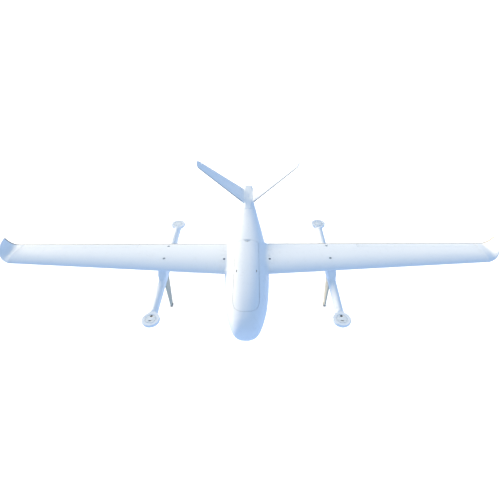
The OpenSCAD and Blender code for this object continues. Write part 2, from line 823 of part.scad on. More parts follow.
// ---------- boom nodes ----------
// tube with a narrower spigot at each end that enters the pod's sleeve
module boom() {
    front = front_pod_y;
    rear = rear_pod_y;
    shoulder = sleeve_end + 0.2;
    end_r = boom_r - 0.8;
    bore_r = 17.3;
    difference() {
        // profile: radius, y
        translate([boom_x, 0, boom_z]) rotate([-90, 0, 0]) rotate_extrude($fn = 64) polygon([
            [spigot_bore_r, front + spigot_start], [spigot_r, front + spigot_start],
            [spigot_r, front + shoulder], [end_r, front + shoulder],
            [boom_r, 300], [boom_r, 600],
            [end_r, rear - shoulder], [spigot_r, rear - shoulder],
            [spigot_r, rear - spigot_start], [spigot_bore_r, rear - spigot_start],
            [spigot_bore_r, rear - 70], [bore_r, rear - 80],
            [bore_r, front + 80], [spigot_bore_r, front + 70]
        ]);
        boom_screw_bores(2.6, boom_z, 0);
        for (leg = legs, y = leg_screw_y(leg)) along_z(boom_z - 30, boom_z - 5, boom_x, y, 2.1);
    }
}
module left_boom() { color("white") place() boom(); }
module right_boom() { color("white") place() right() boom(); }

function saddle_top(y) = y < 352 ? -33.5 + (y - 318) * 0.84 : wing_z(boom_x, y, -1) + 1.5;
function saddle_ring(y, half) =
    let (
        top = saddle_top(y),
        side = [[half, top], [half, top - 5.5], [17.5, boom_z + 4], [17.5, boom_z - 2]]
    )
    ring([for (p = side) [boom_x + p[0], y, p[1]]], [for (p = side) [boom_x - p[0], y, p[1]]]);
module boom_saddles() {
    // y, half width at the top
    stations = [[318, 13], [324, 17], [335, 19], [350, 20], [366, 21], [385, 23.5], [400, 25],
                [500, 25], [538, 23], [548, 18]];
    color("white") place() both() difference() {
        loft([for (station = stations) saddle_ring(station[0], station[1])]);
        wing_solid(boom_x - 40, boom_x + 40, -0.2);
        along_y(300, 620, boom_x, boom_z, boom_r + 0.1);
        box(boom_x - 40, boom_x + 40, 340, 600, boom_z - 20, boom_z + 1);
        boom_screw_bores(2.7, -50, 10);
    }
}

// direction 1: the boom leaves towards the tail, -1: towards the nose
module pod(y, direction) {
    translate([boom_x, y, 0]) scale([1, direction, 1]) difference() {
        union() {
            translate([0, 0, pod_top_z]) rotate_extrude($fn = 64) polygon([
                [0, -26], [15, -26], [23, -24.2], [30, -20.2], [34.8, -15.6],
                [pod_r - 0.6, -11.5], [pod_r, -9], [pod_r, -0.8], [pod_r - 0.8, 0], [0, 0]
            ]);
            translate([0, 0, boom_z]) rotate([-90, 0, 0]) rotate_extrude($fn = 64) polygon([
                [0, 0], [8.5, 0], [12.5, 6], [15.5, 13], [17.6, 23], [18.7, 36],
                [boom_r, 50], [boom_r, sleeve_end], [0, sleeve_end]
            ]);
        }
        along_z(pod_top_z - 4, pod_top_z + 16, 0, 0, 24);
        along_z(pod_top_z - 23, pod_top_z + 1, 0, 0, 22);
        along_y(15, 43, 0, boom_z + loom_above_boom, 4);
        along_y(spigot_start - 0.5, sleeve_end + 1, 0, boom_z, spigot_r + 0.1);
    }
}
module motor_pods() {
    color("white") place() both() {
        pod(front_pod_y, 1);
        pod(rear_pod_y, -1);
    }
}
// plate let into the top of a pod; the front ones have a wire hole and a slot
module motor_plate(front) {
    difference() {
        cylinder(h = 3.9, r = 23.85);
        if (front) along_z(-1, 5, 0, 15.4, 6.2);
        if (front) box(-5.8, 5.8, -13.4, -7.2, -1, 6);
        for (angle = [45:90:359]) rotate([0, 0, angle]) along_z(-1, 5, lift_bolt_circle / 2, 0, 1.6);
    }
}
module motor_mount_plates() {
    color("whitesmoke") place() both() for (y = [front_pod_y, rear_pod_y])
        translate([boom_x, y, pod_top_z - 3.9]) motor_plate(y == front_pod_y);
}

function leg_screw_y(leg) = [leg[0] - 7, leg[1] + 7];
module leg_blade(leg) {
    under_boom = boom_z - boom_r;
    difference() {
        union() {
            slab_x(boom_x - 4, boom_x + 4) polygon([
                [leg[0], under_boom + 3], [leg[0], under_boom - 14], [leg[2], -262],
                [leg[2] + 5, foot_z], [leg[3] - 7, foot_z], [leg[3], -257],
                [leg[1], under_boom - 14], [leg[1], under_boom + 3]
            ]);
            box(boom_x - 14, boom_x + 14, leg[0] - 14, leg[1] + 14, under_boom - 4, under_boom + 6);
        }
        along_y(leg[0] - 20, leg[1] + 20, boom_x, boom_z, boom_r + 0.1);
        for (y = leg_screw_y(leg)) along_z(under_boom - 10, under_boom + 10, boom_x, y, 2.1);
    }
}
module landing_legs() { color("gray") place() both() for (leg = legs) leg_blade(leg); }
module foot_pads() {
    color("dimgray") place() both() for (leg = legs)
        box(boom_x - 6, boom_x + 6, leg[2] + 5, leg[3] - 7, -plane_height, foot_z - part_gap);
}
module boom_screws() {
    shank_z = boom_z + boom_r - 5;
    color("gray") place() both() for (y = boom_screw_y) {
        head_z = wing_z(boom_x, y, 1) - 3.2;
        along_z(head_z, head_z + 3.1, boom_x, y, 6.8);
        along_z(shank_z, head_z + 0.1, boom_x, y, 2.5);
    }
}
module leg_screws() {
    flange_z = boom_z - boom_r - 4;
    color("gray") place() both() for (leg = legs, y = leg_screw_y(leg)) {
        along_z(flange_z - 2.6, flange_z - 0.1, boom_x, y, 3.8);
        along_z(flange_z - 0.2, flange_z + 7.8, boom_x, y, 2);
    }
}

// ---------- tail nodes ----------
// section of the tail block: the top edge, then the side edge, by height and half width
function block_ring(y, top_z, top_half, side_half, side_z) =
    let (half = fus_at(min(y, tail_end - 1), HALF_WIDTH), z = fus_at(min(y, tail_end - 1), WIDEST))
    [
        [half - 2, y, z + 1], [side_half, y, side_z], [top_half, y, top_z],
        [-top_half, y, top_z], [-side_half, y, side_z], [-half + 2, y, z + 1],
        for (x = [-half + 8, -half / 3, 0, half / 4, half / 3, half - 8]) [x, y, z - 1]
    ];
module tail_block() {
    color("white") place() difference() {
        loft([
            block_ring(836, 39, 12, 22, 34),
            block_ring(906, 50.6, 20.5, 30.5, 36),
            block_ring(920, 51, 21, 31, 36.3),
            block_ring(tail_end, 51, 21, 31, 36.3),
            block_ring(1091, 51, 20.5, 26, 36.3)
        ]);
        fus_solid(concat([800], tail_sections), -0.15);
        along_y(tail_end - 0.5, 1110, 0, pusher_z, pusher_r + 0.15);
        box(-60, 60, 1055, 1110, -20, pusher_z);
        both() fin_rods(3.06);
    }
}
module pusher_motor_mount() {
    bolt_r = pusher_bolt_circle / 2;
    color("white") place() difference() {
        along_y(tail_end + 0.1, airframe_len, 0, pusher_z, pusher_r);
        along_y(tail_end - 1, airframe_len - 6, 0, pusher_z, pusher_r - 3);
        along_y(tail_end - 1, airframe_len + 1, 0, pusher_z, 6);
        for (angle = [45:90:359])
            along_y(1090, 1102, bolt_r * cos(angle), pusher_z + bolt_r * sin(angle), 1.7);
    }
}
module left_tail_fin() { color("white") place() tail_fin(); }
module right_tail_fin() { color("white") place() right() tail_fin(); }
module tail_fin_rods() { color("black") place() both() fin_rods(3); }
module left_ruddervator() { color("white") place() ruddervator(); }
module right_ruddervator() { color("white") place() right() ruddervator(); }
module left_ruddervator_servo_arm() { color("silver") place() at_rud_servo() servo_arm(); }
module right_ruddervator_servo_arm() { color("silver") place() right() at_rud_servo() servo_arm(); }
module left_ruddervator_pushrod() { color("silver") place() at_rud_servo() pushrod(rud_rod_len); }
module right_ruddervator_pushrod() {
    color("silver") place() right() at_rud_servo() pushrod(rud_rod_len);
}

fuselage_upper_shell();
fuselage_lower_shell();
fuselage_formers();
top_hatch();
hatch_frame();
hatch_magnets();
equipment_trays();
battery();
battery_straps();
autopilot();
gps_module();
power_module();
radio_receiver();
speed_controllers();
wiring_loom();
wing_spar_tube();
wing_alignment_pins();
left_wing_upper_skin();
left_wing_lower_skin();
left_wing_ribs();
left_wing_spar();
left_wing_tip();
right_wing_upper_skin();
right_wing_lower_skin();
right_wing_ribs();
right_wing_spar();
right_wing_tip();
left_aileron();
right_aileron();
control_hinge_rods();
control_servos();
servo_covers();
left_aileron_servo_arm();
right_aileron_servo_arm();
left_aileron_pushrod();
right_aileron_pushrod();
left_wing_lock_button();
right_wing_lock_button();
wing_lock_housings();
wing_lock_springs();
left_boom();
right_boom();
boom_saddles();
motor_pods();
motor_mount_plates();
landing_legs();
foot_pads();
boom_screws();
leg_screws();
tail_block();
pusher_motor_mount();
left_tail_fin();
right_tail_fin();
tail_fin_rods();
left_ruddervator();
right_ruddervator();
left_ruddervator_servo_arm();
right_ruddervator_servo_arm();
left_ruddervator_pushrod();
right_ruddervator_pushrod();
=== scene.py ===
"""Looks for the fixed wing drone: smooth shells, blended pods and tail, finishes, camera and light.

Shapes are worked out in millimetres as (x, s, h): s runs aft from the nose, h is the height over
the wing's chord plane. put() turns that into the row frame, in metres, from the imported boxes.
"""

import json
import math

import bmesh
import bpy
import numpy as np
from mathutils import Matrix, Vector

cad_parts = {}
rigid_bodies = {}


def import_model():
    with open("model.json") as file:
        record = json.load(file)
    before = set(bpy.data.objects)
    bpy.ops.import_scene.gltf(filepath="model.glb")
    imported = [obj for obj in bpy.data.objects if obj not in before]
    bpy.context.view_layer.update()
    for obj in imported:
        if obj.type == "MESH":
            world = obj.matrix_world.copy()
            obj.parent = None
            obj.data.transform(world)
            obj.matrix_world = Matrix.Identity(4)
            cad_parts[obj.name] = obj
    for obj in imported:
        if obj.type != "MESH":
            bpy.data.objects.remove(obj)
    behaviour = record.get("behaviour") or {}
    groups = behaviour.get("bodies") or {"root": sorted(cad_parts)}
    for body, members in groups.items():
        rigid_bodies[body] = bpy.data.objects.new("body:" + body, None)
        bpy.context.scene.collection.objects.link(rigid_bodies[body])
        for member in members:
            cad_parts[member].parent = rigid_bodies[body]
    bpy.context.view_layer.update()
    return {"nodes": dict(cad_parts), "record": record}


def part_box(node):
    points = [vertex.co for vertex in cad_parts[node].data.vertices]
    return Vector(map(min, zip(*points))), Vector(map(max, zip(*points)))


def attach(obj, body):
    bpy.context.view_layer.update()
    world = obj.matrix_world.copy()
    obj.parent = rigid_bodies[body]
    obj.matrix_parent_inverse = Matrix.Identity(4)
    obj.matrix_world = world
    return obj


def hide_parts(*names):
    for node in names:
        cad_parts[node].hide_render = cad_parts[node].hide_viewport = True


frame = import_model()
NODES = frame["nodes"]
REC = frame["record"]
BODY_OF = {n: b for b, ns in REC["behaviour"]["bodies"].items() for n in ns}
MOUNT = {m["name"]: m for m in REC["mounts"]}

# anchors from the frame
S0 = -1000.0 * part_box("fuselage_upper_shell")[0].y
H0 = 1000.0 * MOUNT["front_left_lift_motor"]["pos_m"][2] + 35.0
BX = 1000.0 * MOUNT["front_left_lift_motor"]["pos_m"][0]
POD_S0 = 1000.0 * MOUNT["front_left_lift_motor"]["pos_m"][1] + S0
POD_S1 = 1000.0 * MOUNT["rear_left_lift_motor"]["pos_m"][1] + S0
TAIL_END = 1000.0 * MOUNT["pusher_motor"]["pos_m"][1] + S0
TAIL_C = 1000.0 * MOUNT["pusher_motor"]["pos_m"][2] - H0
HINGE_S, HINGE_H = 519.0, 3.1

# ------------------------------------------------------------------ form of the fuselage and the wing
FUS = np.array([
    [0, 0.8, -59.2, -60.8, -60], [4, 23.5, -38, -81, -59.8], [16, 45, -17, -98, -59.4],
    [41, 61, 2, -114, -58.3], [67, 70.5, 13, -123, -57.2], [93, 78, 21, -130, -56],
    [148, 90, 32, -139, -54.5], [206, 97.5, 39, -145, -52.5], [268, 102.5, 44, -149, -50],
    [332, 105.5, 47, -150, -47.5], [400, 106.5, 48, -150, -45], [500, 100, 47, -142, -38],
    [560, 93.5, 46, -133, -34], [622, 85.5, 44, -118, -27.5], [698, 73.5, 41, -93, -15],
    [778, 59.5, 39, -62, -2], [864, 44.5, 41, -32, 12], [920, 35, 43, -14, 18.5],
    [962, 28.5, 45, -4, 21.5], [1010, 24, 47, 0.5, 23.5], [1062, 23.5, 47.5, 0.5, 24]], float)
FQ = np.sqrt(FUS[:, 0])
_a = np.maximum(np.arange(len(FUS)) - 1, 0)
_b = np.minimum(np.arange(len(FUS)) + 1, len(FUS) - 1)
FSL = (FUS[_b] - FUS[_a]) / (FQ[_b] - FQ[_a])[:, None]
SHELL_T = 1.6
SEAM = 108.0
WLE, WTE, WSW, FT, FM, SKIN = 323.5, 557.0, 0.0771, 0.12, 0.03, 1.2
TIP_X0, TIP_S, TIP_R, TIP_A, TIP_L = 1167.78, 24.2, 56.0, 62.0, 17.0
AIL0, AIL1 = 560.0, 1160.0
BOOM_H, BOOM_R, POD_R, POD_TOP = -51.0, 19.0, 38.0, -35.0
LOCK_X, LOCK_S = 110.0, 408.0
SCREW_S = (416.0, 528.0)
HW, HS0, HS1, HGAP = 58.0, 75.0, 530.0, 0.5


def fz(s, k):
    s = np.clip(np.asarray(s, float), 0, FUS[-1, 0])
    i = np.clip(np.searchsorted(FUS[:, 0], s, side="right") - 1, 0, len(FUS) - 2)
    d = FQ[i + 1] - FQ[i]
    t = (np.sqrt(s) - FQ[i]) / d
    t2, t3 = t * t, t * t * t
    return ((2 * t3 - 3 * t2 + 1) * FUS[i, k] + (t3 - 2 * t2 + t) * d * FSL[i, k]
            + (3 * t2 - 2 * t3) * FUS[i + 1, k] + (t3 - t2) * d * FSL[i + 1, k])


def fexp(s):
    s = np.asarray(s, float)
    return np.where(s < 600, 2.35, np.maximum(2.0, 2.35 - 0.35 * (s - 600) / 350))


def farc(s, ang, g, up):
    """points of the fuselage section at s for angles ang (radians), wall offset g"""
    w, z, n = fz(s, 1), fz(s, 4), fexp(s)
    c, q = np.cos(ang), np.abs(np.sin(ang))
    ww = max(0.35 * w, w - g)
    hh = fz(s, 2) - z if up else z - fz(s, 3)
    hg = max(0.35 * hh, hh - g)
    x = ww * np.sign(c) * np.abs(c) ** (2 / n)
    h = z + (1 if up else -1) * (hg * q ** (2 / n) + 0.05)
    return np.stack([x, np.full_like(x, s), h], 1)


def fus_x(s, h):
    """half width of the fuselage at height h"""
    w, z, n = fz(s, 1), fz(s, 4), fexp(s)
    hh = np.where(h > z, fz(s, 2) - z, z - fz(s, 3))
    q = np.clip(1 - (np.abs(h - z) / hh) ** n, 0.0, 1)
    return w * q ** (1 / n)


def fus_top(s, x, g=0.0):
    z, n = fz(s, 4), fexp(s)
    return z + (fz(s, 2) - z - g) * np.clip(1 - (np.abs(x) / (fz(s, 1) - g)) ** n, 0, 1) ** (1 / n)


def fus_d(x, s, h):
    """about the distance to the fuselage surface, in the section's plane"""
    w, z, n = fz(s, 1), fz(s, 4), fexp(s)
    dz = h - z
    hh = np.where(dz > 0, fz(s, 2) - z, z - fz(s, 3))
    rho = np.sqrt(x * x + dz * dz) + 1e-6
    m = ((np.abs(x) / w) ** n + (np.abs(dz) / hh) ** n) ** (1 / n) + 1e-9
    return rho - rho / m


def wle(x):
    return WLE + WSW * (np.asarray(x, float) - SEAM)


def thick(u, t):
    return 5 * t * (0.2969 * np.sqrt(u) - 0.126 * u - 0.3516 * u * u + 0.2843 * u ** 3 - 0.1036 * u ** 4) + 0.0035 * u


def camber(u):
    return np.where(u < 0.4, FM / 0.16 * (0.8 * u - u * u), FM / 0.36 * (0.2 + 0.8 * u - u * u))


def wz(x, u, sd, g=0.0):
    c = WTE - wle(x)
    return c * camber(u) + sd * np.maximum(0.08, c * thick(u, FT) - g)


def wsurf(x, s, sd, g=0.0):
    return wz(x, np.clip((s - wle(x)) / (WTE - wle(x)), 0, 1), sd, g)


# ------------------------------------------------------------------ mesh helpers
COL = bpy.context.scene.collection
MATS = {}


def to_row(v):
    v = np.asarray(v, float)
    return np.stack([v[:, 0], v[:, 1] - S0, v[:, 2] + H0], 1) / 1000.0


def raw_mesh(name, verts, faces):
    """mesh in working millimetres, linked so that modifiers can be used on it"""
    me = bpy.data.meshes.new(name)
    me.from_pydata([tuple(map(float, p)) for p in verts], [], [tuple(map(int, f)) for f in faces])
    me.validate()
    me.update()
    ob = bpy.data.objects.new(name, me)
    COL.objects.link(ob)
    return ob


def outward(ob):
    """normals of a closed mesh outwards"""
    bm = bmesh.new()
    bm.from_mesh(ob.data)
    bmesh.ops.recalc_face_normals(bm, faces=bm.faces)
    vol = bm.calc_volume(signed=True)
    if vol < 0:
        bmesh.ops.reverse_faces(bm, faces=bm.faces)
    bm.to_mesh(ob.data)
    bm.free()
    return ob


def applied(ob):
    """all modifiers applied into the mesh"""
    dg = bpy.context.evaluated_depsgraph_get()
    ob_e = ob.evaluated_get(dg)
    me = bpy.data.meshes.new_from_object(ob_e, preserve_all_data_layers=True, depsgraph=dg)
    old = ob.data
    ob.modifiers.clear()
    ob.data = me
    bpy.data.meshes.remove(old)
    return ob


def drop(*obs):
    for o in obs:
        me = o.data
        bpy.data.objects.remove(o)
        bpy.data.meshes.remove(me)


def boolean(ob, tool, op="DIFFERENCE", keep_tool=False, solver="MANIFOLD"):
    m = ob.modifiers.new("b", "BOOLEAN")
    m.operation = op
    m.object = tool
    try:
        m.solver = solver
    except TypeError:
        m.solver = "EXACT"
    n0 = len(ob.data.polygons)
    applied(ob)
    if len(ob.data.polygons) == 0 and n0:
        print("BOOLEAN LOST", ob.name, tool.name)
    if not keep_tool:
        drop(tool)
    return ob


def finish_piece(ob, name, mat, body, replaces=(), angle=35.0, smooth=True, side=1):
    """working mm -> row frame, material, ride"""
    me = ob.data
    n = len(me.vertices)
    co = np.zeros(n * 3, np.float32)
    me.vertices.foreach_get("co", co)
    co = co.reshape(-1, 3).astype(float)
    if side < 0:
        co[:, 0] *= -1
    co = to_row(co)
    me.vertices.foreach_set("co", co.astype(np.float32).ravel())
    if side < 0:
        me.flip_normals()
    me.update()
    me.polygons.foreach_set("use_smooth", [smooth] * len(me.polygons))
    if smooth and angle is not None:
        me.set_sharp_from_angle(angle=math.radians(angle))
    me.materials.clear()
    me.materials.append(MATS[mat])
    ob.name = name
    me.name = name
    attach(ob, body)
    if replaces:
        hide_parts(*replaces)
    return ob


def copy_ob(ob, name="copy"):
    o = ob.copy()
    o.data = ob.data.copy()
    o.name = name
    COL.objects.link(o)
    return o


def join(obs):
    """several working meshes as one"""
    vs, fs, off = [], [], 0
    for o in obs:
        n = len(o.data.vertices)
        co = np.zeros(n * 3, np.float32)
        o.data.vertices.foreach_get("co", co)
        vs.append(co.reshape(-1, 3))
        fs += [[v + off for v in p.vertices] for p in o.data.polygons]
        off += n
    ob = raw_mesh("joined", np.concatenate(vs), fs)
    drop(*obs)
    return ob


def grid_faces(m, n, wrap=True):
    """faces of m rings of n points"""
    i, j = np.meshgrid(np.arange(m - 1), np.arange(n if wrap else n - 1), indexing="ij")
    a = i * n + j
    b = i * n + (j + 1) % n
    return np.stack([a, b, b + n, a + n], -1).reshape(-1, 4)


def loft(rings, caps=True, name="loft"):
    """rings of 2k points, k out and k back: a closed solid with strip caps"""
    m, n = len(rings), len(rings[0])
    faces = [list(f) for f in grid_faces(m, n)]
    if caps:
        for e, flip in ((0, True), ((m - 1) * n, False)):
            for j in range(n // 2 - 1):
                q = [e + j, e + j + 1, e + n - 2 - j, e + n - 1 - j]
                faces.append(q[::-1] if flip else q)
    ob = raw_mesh(name, np.concatenate(rings), faces)
    return outward(ob)


def prism(pts, z0, z1, axis=2, name="prism"):
    """outline pts swept along an axis: 0 x, 1 s, 2 h"""
    pts = np.asarray(pts, float)
    n = len(pts)
    v = []
    for z in (z0, z1):
        for p in pts:
            q = [p[0], p[1]]
            q.insert(axis, z)
            v.append(q)
    faces = [[j, (j + 1) % n, (j + 1) % n + n, j + n] for j in range(n)]
    faces += [list(range(n))[::-1], list(range(n, 2 * n))]
    return outward(raw_mesh(name, v, faces))


def circle_pts(cx, cy, r, n=64):
    t = np.arange(n) * 2 * math.pi / n
    return np.stack([cx + r * np.cos(t), cy + r * np.sin(t)], 1)


def rod(p0, p1, r, n=32, r1=None, bevel=0.0, name="rod"):
    """a turned rod between two points, with its ends eased"""
    p0, p1 = np.array(p0, float), np.array(p1, float)
    d = p1 - p0
    L = np.linalg.norm(d)
    d /= L
    a = np.array([1.0, 0, 0]) if abs(d[0]) < 0.9 else np.array([0, 1.0, 0])
    u = np.cross(d, a)
    u /= np.linalg.norm(u)
    w = np.cross(d, u)
    r1 = r if r1 is None else r1
    prof = [(0, r), (L, r1)] if bevel <= 0 else [(0, r - bevel), (bevel, r), (L - bevel, r1), (L, r1 - bevel)]
    t = np.arange(n) * 2 * math.pi / n
    rings = [p0 + d * z + rr * (np.cos(t)[:, None] * u + np.sin(t)[:, None] * w) for z, rr in prof]
    faces = [list(f) for f in grid_faces(len(rings), n)]
    faces += [list(range(n))[::-1], [(len(rings) - 1) * n + k for k in range(n)]]
    return outward(raw_mesh(name, np.concatenate(rings), faces))


def lathe(profile, origin, axis="h", n=96, name="lathe"):
    """closed (r, z) profile turned about an axis through origin; r 0 points are shared"""
    pr = [tuple(p) for p in profile]
    t = np.arange(n) * 2 * math.pi / n
    v, idx = [], []
    for r, z in pr:
        if r < 1e-6:
            idx.append([len(v)] * n)
            v.append((0, 0, z))
        else:
            idx.append(list(range(len(v), len(v) + n)))
            v += [(r * math.cos(q), r * math.sin(q), z) for q in t]
    faces = []
    m = len(pr)
    closed = pr[0][0] > 1e-6 or pr[-1][0] > 1e-6
    for i in range(m if closed else m - 1):
        A, Bq = idx[i], idx[(i + 1) % m]
        for j in range(n):
            q = [A[j], A[(j + 1) % n], Bq[(j + 1) % n], Bq[j]]
            out = []
            for k in q:
                if k not in out:
                    out.append(k)
            if len(out) > 2:
                faces.append(out)
    v = np.array(v, float)
    if axis == "s":
        v = np.stack([v[:, 0], v[:, 2], -v[:, 1]], 1)
    elif axis == "x":
        v = np.stack([v[:, 2], v[:, 0], v[:, 1]], 1)
    return outward(raw_mesh(name, v + np.array(origin, float), faces))


def rbox(lo, hi, r=1.0, seg=3, name="rbox"):
    """box with rounded edges"""
    bm = bmesh.new()
    bmesh.ops.create_cube(bm, size=1.0)
    lo, hi = np.array(lo, float), np.array(hi, float)
    for v in bm.verts:
        v.co = Vector((lo + hi) / 2 + np.array(v.co) * (hi - lo))
    if r > 0:
        bmesh.ops.bevel(bm, geom=list(bm.edges), offset=r, segments=seg, profile=0.5, affect="EDGES", clamp_overlap=True)
    me = bpy.data.meshes.new(name)
    bm.to_mesh(me)
    bm.free()
    ob = bpy.data.objects.new(name, me)
    COL.objects.link(ob)
    return ob


def eased(ob, w, seg=2, angle=40.0):
    """bevels the sharp edges of a working mesh"""
    m = ob.modifiers.new("e", "BEVEL")
    m.width = w
    m.segments = seg
    m.limit_method = "ANGLE"
    m.angle_limit = math.radians(angle)
    m.use_clamp_overlap = True
    m.harden_normals = False
    return applied(ob)


# ------------------------------------------------------------------ distance fields
def smin(a, b, k):
    h = np.clip(0.5 + 0.5 * (b - a) / k, 0, 1)
    return b + (a - b) * h - k * h * (1 - h)


def smax(a, b, k):
    return -smin(-a, -b, k)


def surface_nets(f, lo, hi, step, name="nets", polish=3):
    """smooth quad surface of f(x, s, h) = 0 inside the box"""
    ax = [np.arange(lo[i], hi[i] + step, step) for i in range(3)]
    X, Y, Z = np.meshgrid(*ax, indexing="ij")
    V = f(X.ravel(), Y.ravel(), Z.ravel()).reshape(X.shape)
    # closed at the border
    V[0], V[-1], V[:, 0], V[:, -1], V[:, :, 0], V[:, :, -1] = [np.abs(V[0]) + 1e-3, np.abs(V[-1]) + 1e-3, np.abs(V[:, 0]) + 1e-3,
                                                              np.abs(V[:, -1]) + 1e-3, np.abs(V[:, :, 0]) + 1e-3, np.abs(V[:, :, -1]) + 1e-3]
    S = V < 0
    nx, ny, nz = [n - 1 for n in V.shape]
    cnt = np.zeros((nx, ny, nz), int)
    acc = np.zeros((nx, ny, nz, 3))
    corner = [(a, b, c) for a in (0, 1) for b in (0, 1) for c in (0, 1)]

    def sub(A, o):
        return A[o[0]:o[0] + nx, o[1]:o[1] + ny, o[2]:o[2] + nz]

    for a in corner:
        for k in range(3):
            if a[k]:
                continue
            b = list(a)
            b[k] = 1
            va, vb = sub(V, a), sub(V, b)
            cross = sub(S, a) != sub(S, b)
            t = np.where(cross, va / np.where(cross, va - vb, 1), 0)
            for q in range(3):
                acc[..., q] += np.where(cross, a[q] + (t if q == k else 0), 0)
            cnt += cross
    act = cnt > 0
    ids = np.full((nx, ny, nz), -1)
    ids[act] = np.arange(act.sum())
    base = np.stack(np.nonzero(act), 1)
    P = np.array(lo, float) + step * (base + acc[act] / cnt[act][:, None])
    quads = []
    for k in range(3):
        o = [q for q in range(3) if q != k]
        A = S.take(range(0, S.shape[k] - 1), axis=k)
        Bq = S.take(range(1, S.shape[k]), axis=k)
        diff = A != Bq
        sl = [slice(None)] * 3
        sl[o[0]] = slice(1, -1)
        sl[o[1]] = slice(1, -1)
        d = diff[tuple(sl)]
        ins = A[tuple(sl)]
        c = np.stack(np.nonzero(d), 1)
        i0 = ins[d]
        c[:, o[0]] += 1
        c[:, o[1]] += 1
        e0, e1 = np.zeros(3, int), np.zeros(3, int)
        e0[o[0]] = 1
        e1[o[1]] = 1
        q = [ids[tuple((c - m).T)] for m in (e0 * 0, e0, e0 + e1, e1)]
        q = np.stack(q, 1)
        if k == 1:
            i0 = ~i0
        q[i0] = q[i0][:, ::-1]
        quads.append(q)
    quads = np.concatenate(quads)
    e = 0.05
    for _ in range(polish):
        g = np.stack([(f(*(P + d).T) - f(*(P - d).T)) / (2 * e) for d in np.eye(3) * e], 1)
        n2 = (g * g).sum(1) + 1e-9
        stepv = -(f(*P.T) / n2)[:, None] * g
        L = np.linalg.norm(stepv, axis=1, keepdims=True)
        stepv *= np.minimum(1, 0.5 * step / np.maximum(L, 1e-9))
        P = P + stepv
    return outward(raw_mesh(name, P, quads))


# ------------------------------------------------------------------ materials
def nodes_of(name):
    m = bpy.data.materials.new(name)
    m.use_nodes = True
    nt = m.node_tree
    nt.nodes.clear()
    out = nt.nodes.new("ShaderNodeOutputMaterial")
    b = nt.nodes.new("ShaderNodeBsdfPrincipled")
    nt.links.new(b.outputs[0], out.inputs[0])
    MATS[name] = m
    return m, nt, b


def add(nt, kind, **kw):
    n = nt.nodes.new(kind)
    for k, v in kw.items():
        if k in n.inputs:
            n.inputs[k].default_value = v
        else:
            setattr(n, k, v)
    return n


def ramp(nt, src, stops):
    r = nt.nodes.new("ShaderNodeValToRGB")
    e = r.color_ramp.elements
    while len(e) < len(stops):
        e.new(0.5)
    for el, (p, c) in zip(e, stops):
        el.position = p
        el.color = (c, c, c, 1) if isinstance(c, (int, float)) else (*c, 1)
    nt.links.new(src, r.inputs[0])
    return r.outputs[0]


def mix(nt, fac, a, b, mode="MIX"):
    m = nt.nodes.new("ShaderNodeMix")
    m.data_type = "RGBA"
    m.blend_type = mode
    for idx, v in ((0, fac), (6, a), (7, b)):
        if isinstance(v, bpy.types.NodeSocket):
            nt.links.new(v, m.inputs[idx])
        elif idx == 0:
            m.inputs[0].default_value = v
        else:
            m.inputs[idx].default_value = (*v, 1) if len(v) == 3 else v
    return m.outputs[2]


def noise(nt, scale, detail=4.0, rough=0.55, coord=None, dist=0.0):
    n = nt.nodes.new("ShaderNodeTexNoise")
    n.inputs["Scale"].default_value = scale
    n.inputs["Detail"].default_value = detail
    n.inputs["Roughness"].default_value = rough
    n.inputs["Distortion"].default_value = dist
    if coord is not None:
        nt.links.new(coord, n.inputs["Vector"])
    return n.outputs[0]


def coords(nt, scale=(1, 1, 1)):
    t = nt.nodes.new("ShaderNodeTexCoord")
    m = nt.nodes.new("ShaderNodeMapping")
    m.inputs["Scale"].default_value = scale
    nt.links.new(t.outputs["Object"], m.inputs[0])
    return m.outputs[0]


def math_node(nt, op, a, b=0.0, clamp=False):
    m = nt.nodes.new("ShaderNodeMath")
    m.operation = op
    m.use_clamp = clamp
    for i, v in enumerate((a, b)):
        if isinstance(v, bpy.types.NodeSocket):
            nt.links.new(v, m.inputs[i])
        else:
            m.inputs[i].default_value = v
    return m.outputs[0]


def edge_mask(nt, sharp=0.02, lo=0.502, hi=0.56):
    g = nt.nodes.new("ShaderNodeNewGeometry")
    return ramp(nt, g.outputs["Pointiness"], [(lo, 0.0), (hi, 1.0)])


def bump(nt, b, height, strength=0.1, dist=0.001):
    n = nt.nodes.new("ShaderNodeBump")
    n.inputs["Strength"].default_value = strength
    n.inputs["Distance"].default_value = dist
    nt.links.new(height, n.inputs["Height"])
    nt.links.new(n.outputs[0], b.inputs["Normal"])
    return n


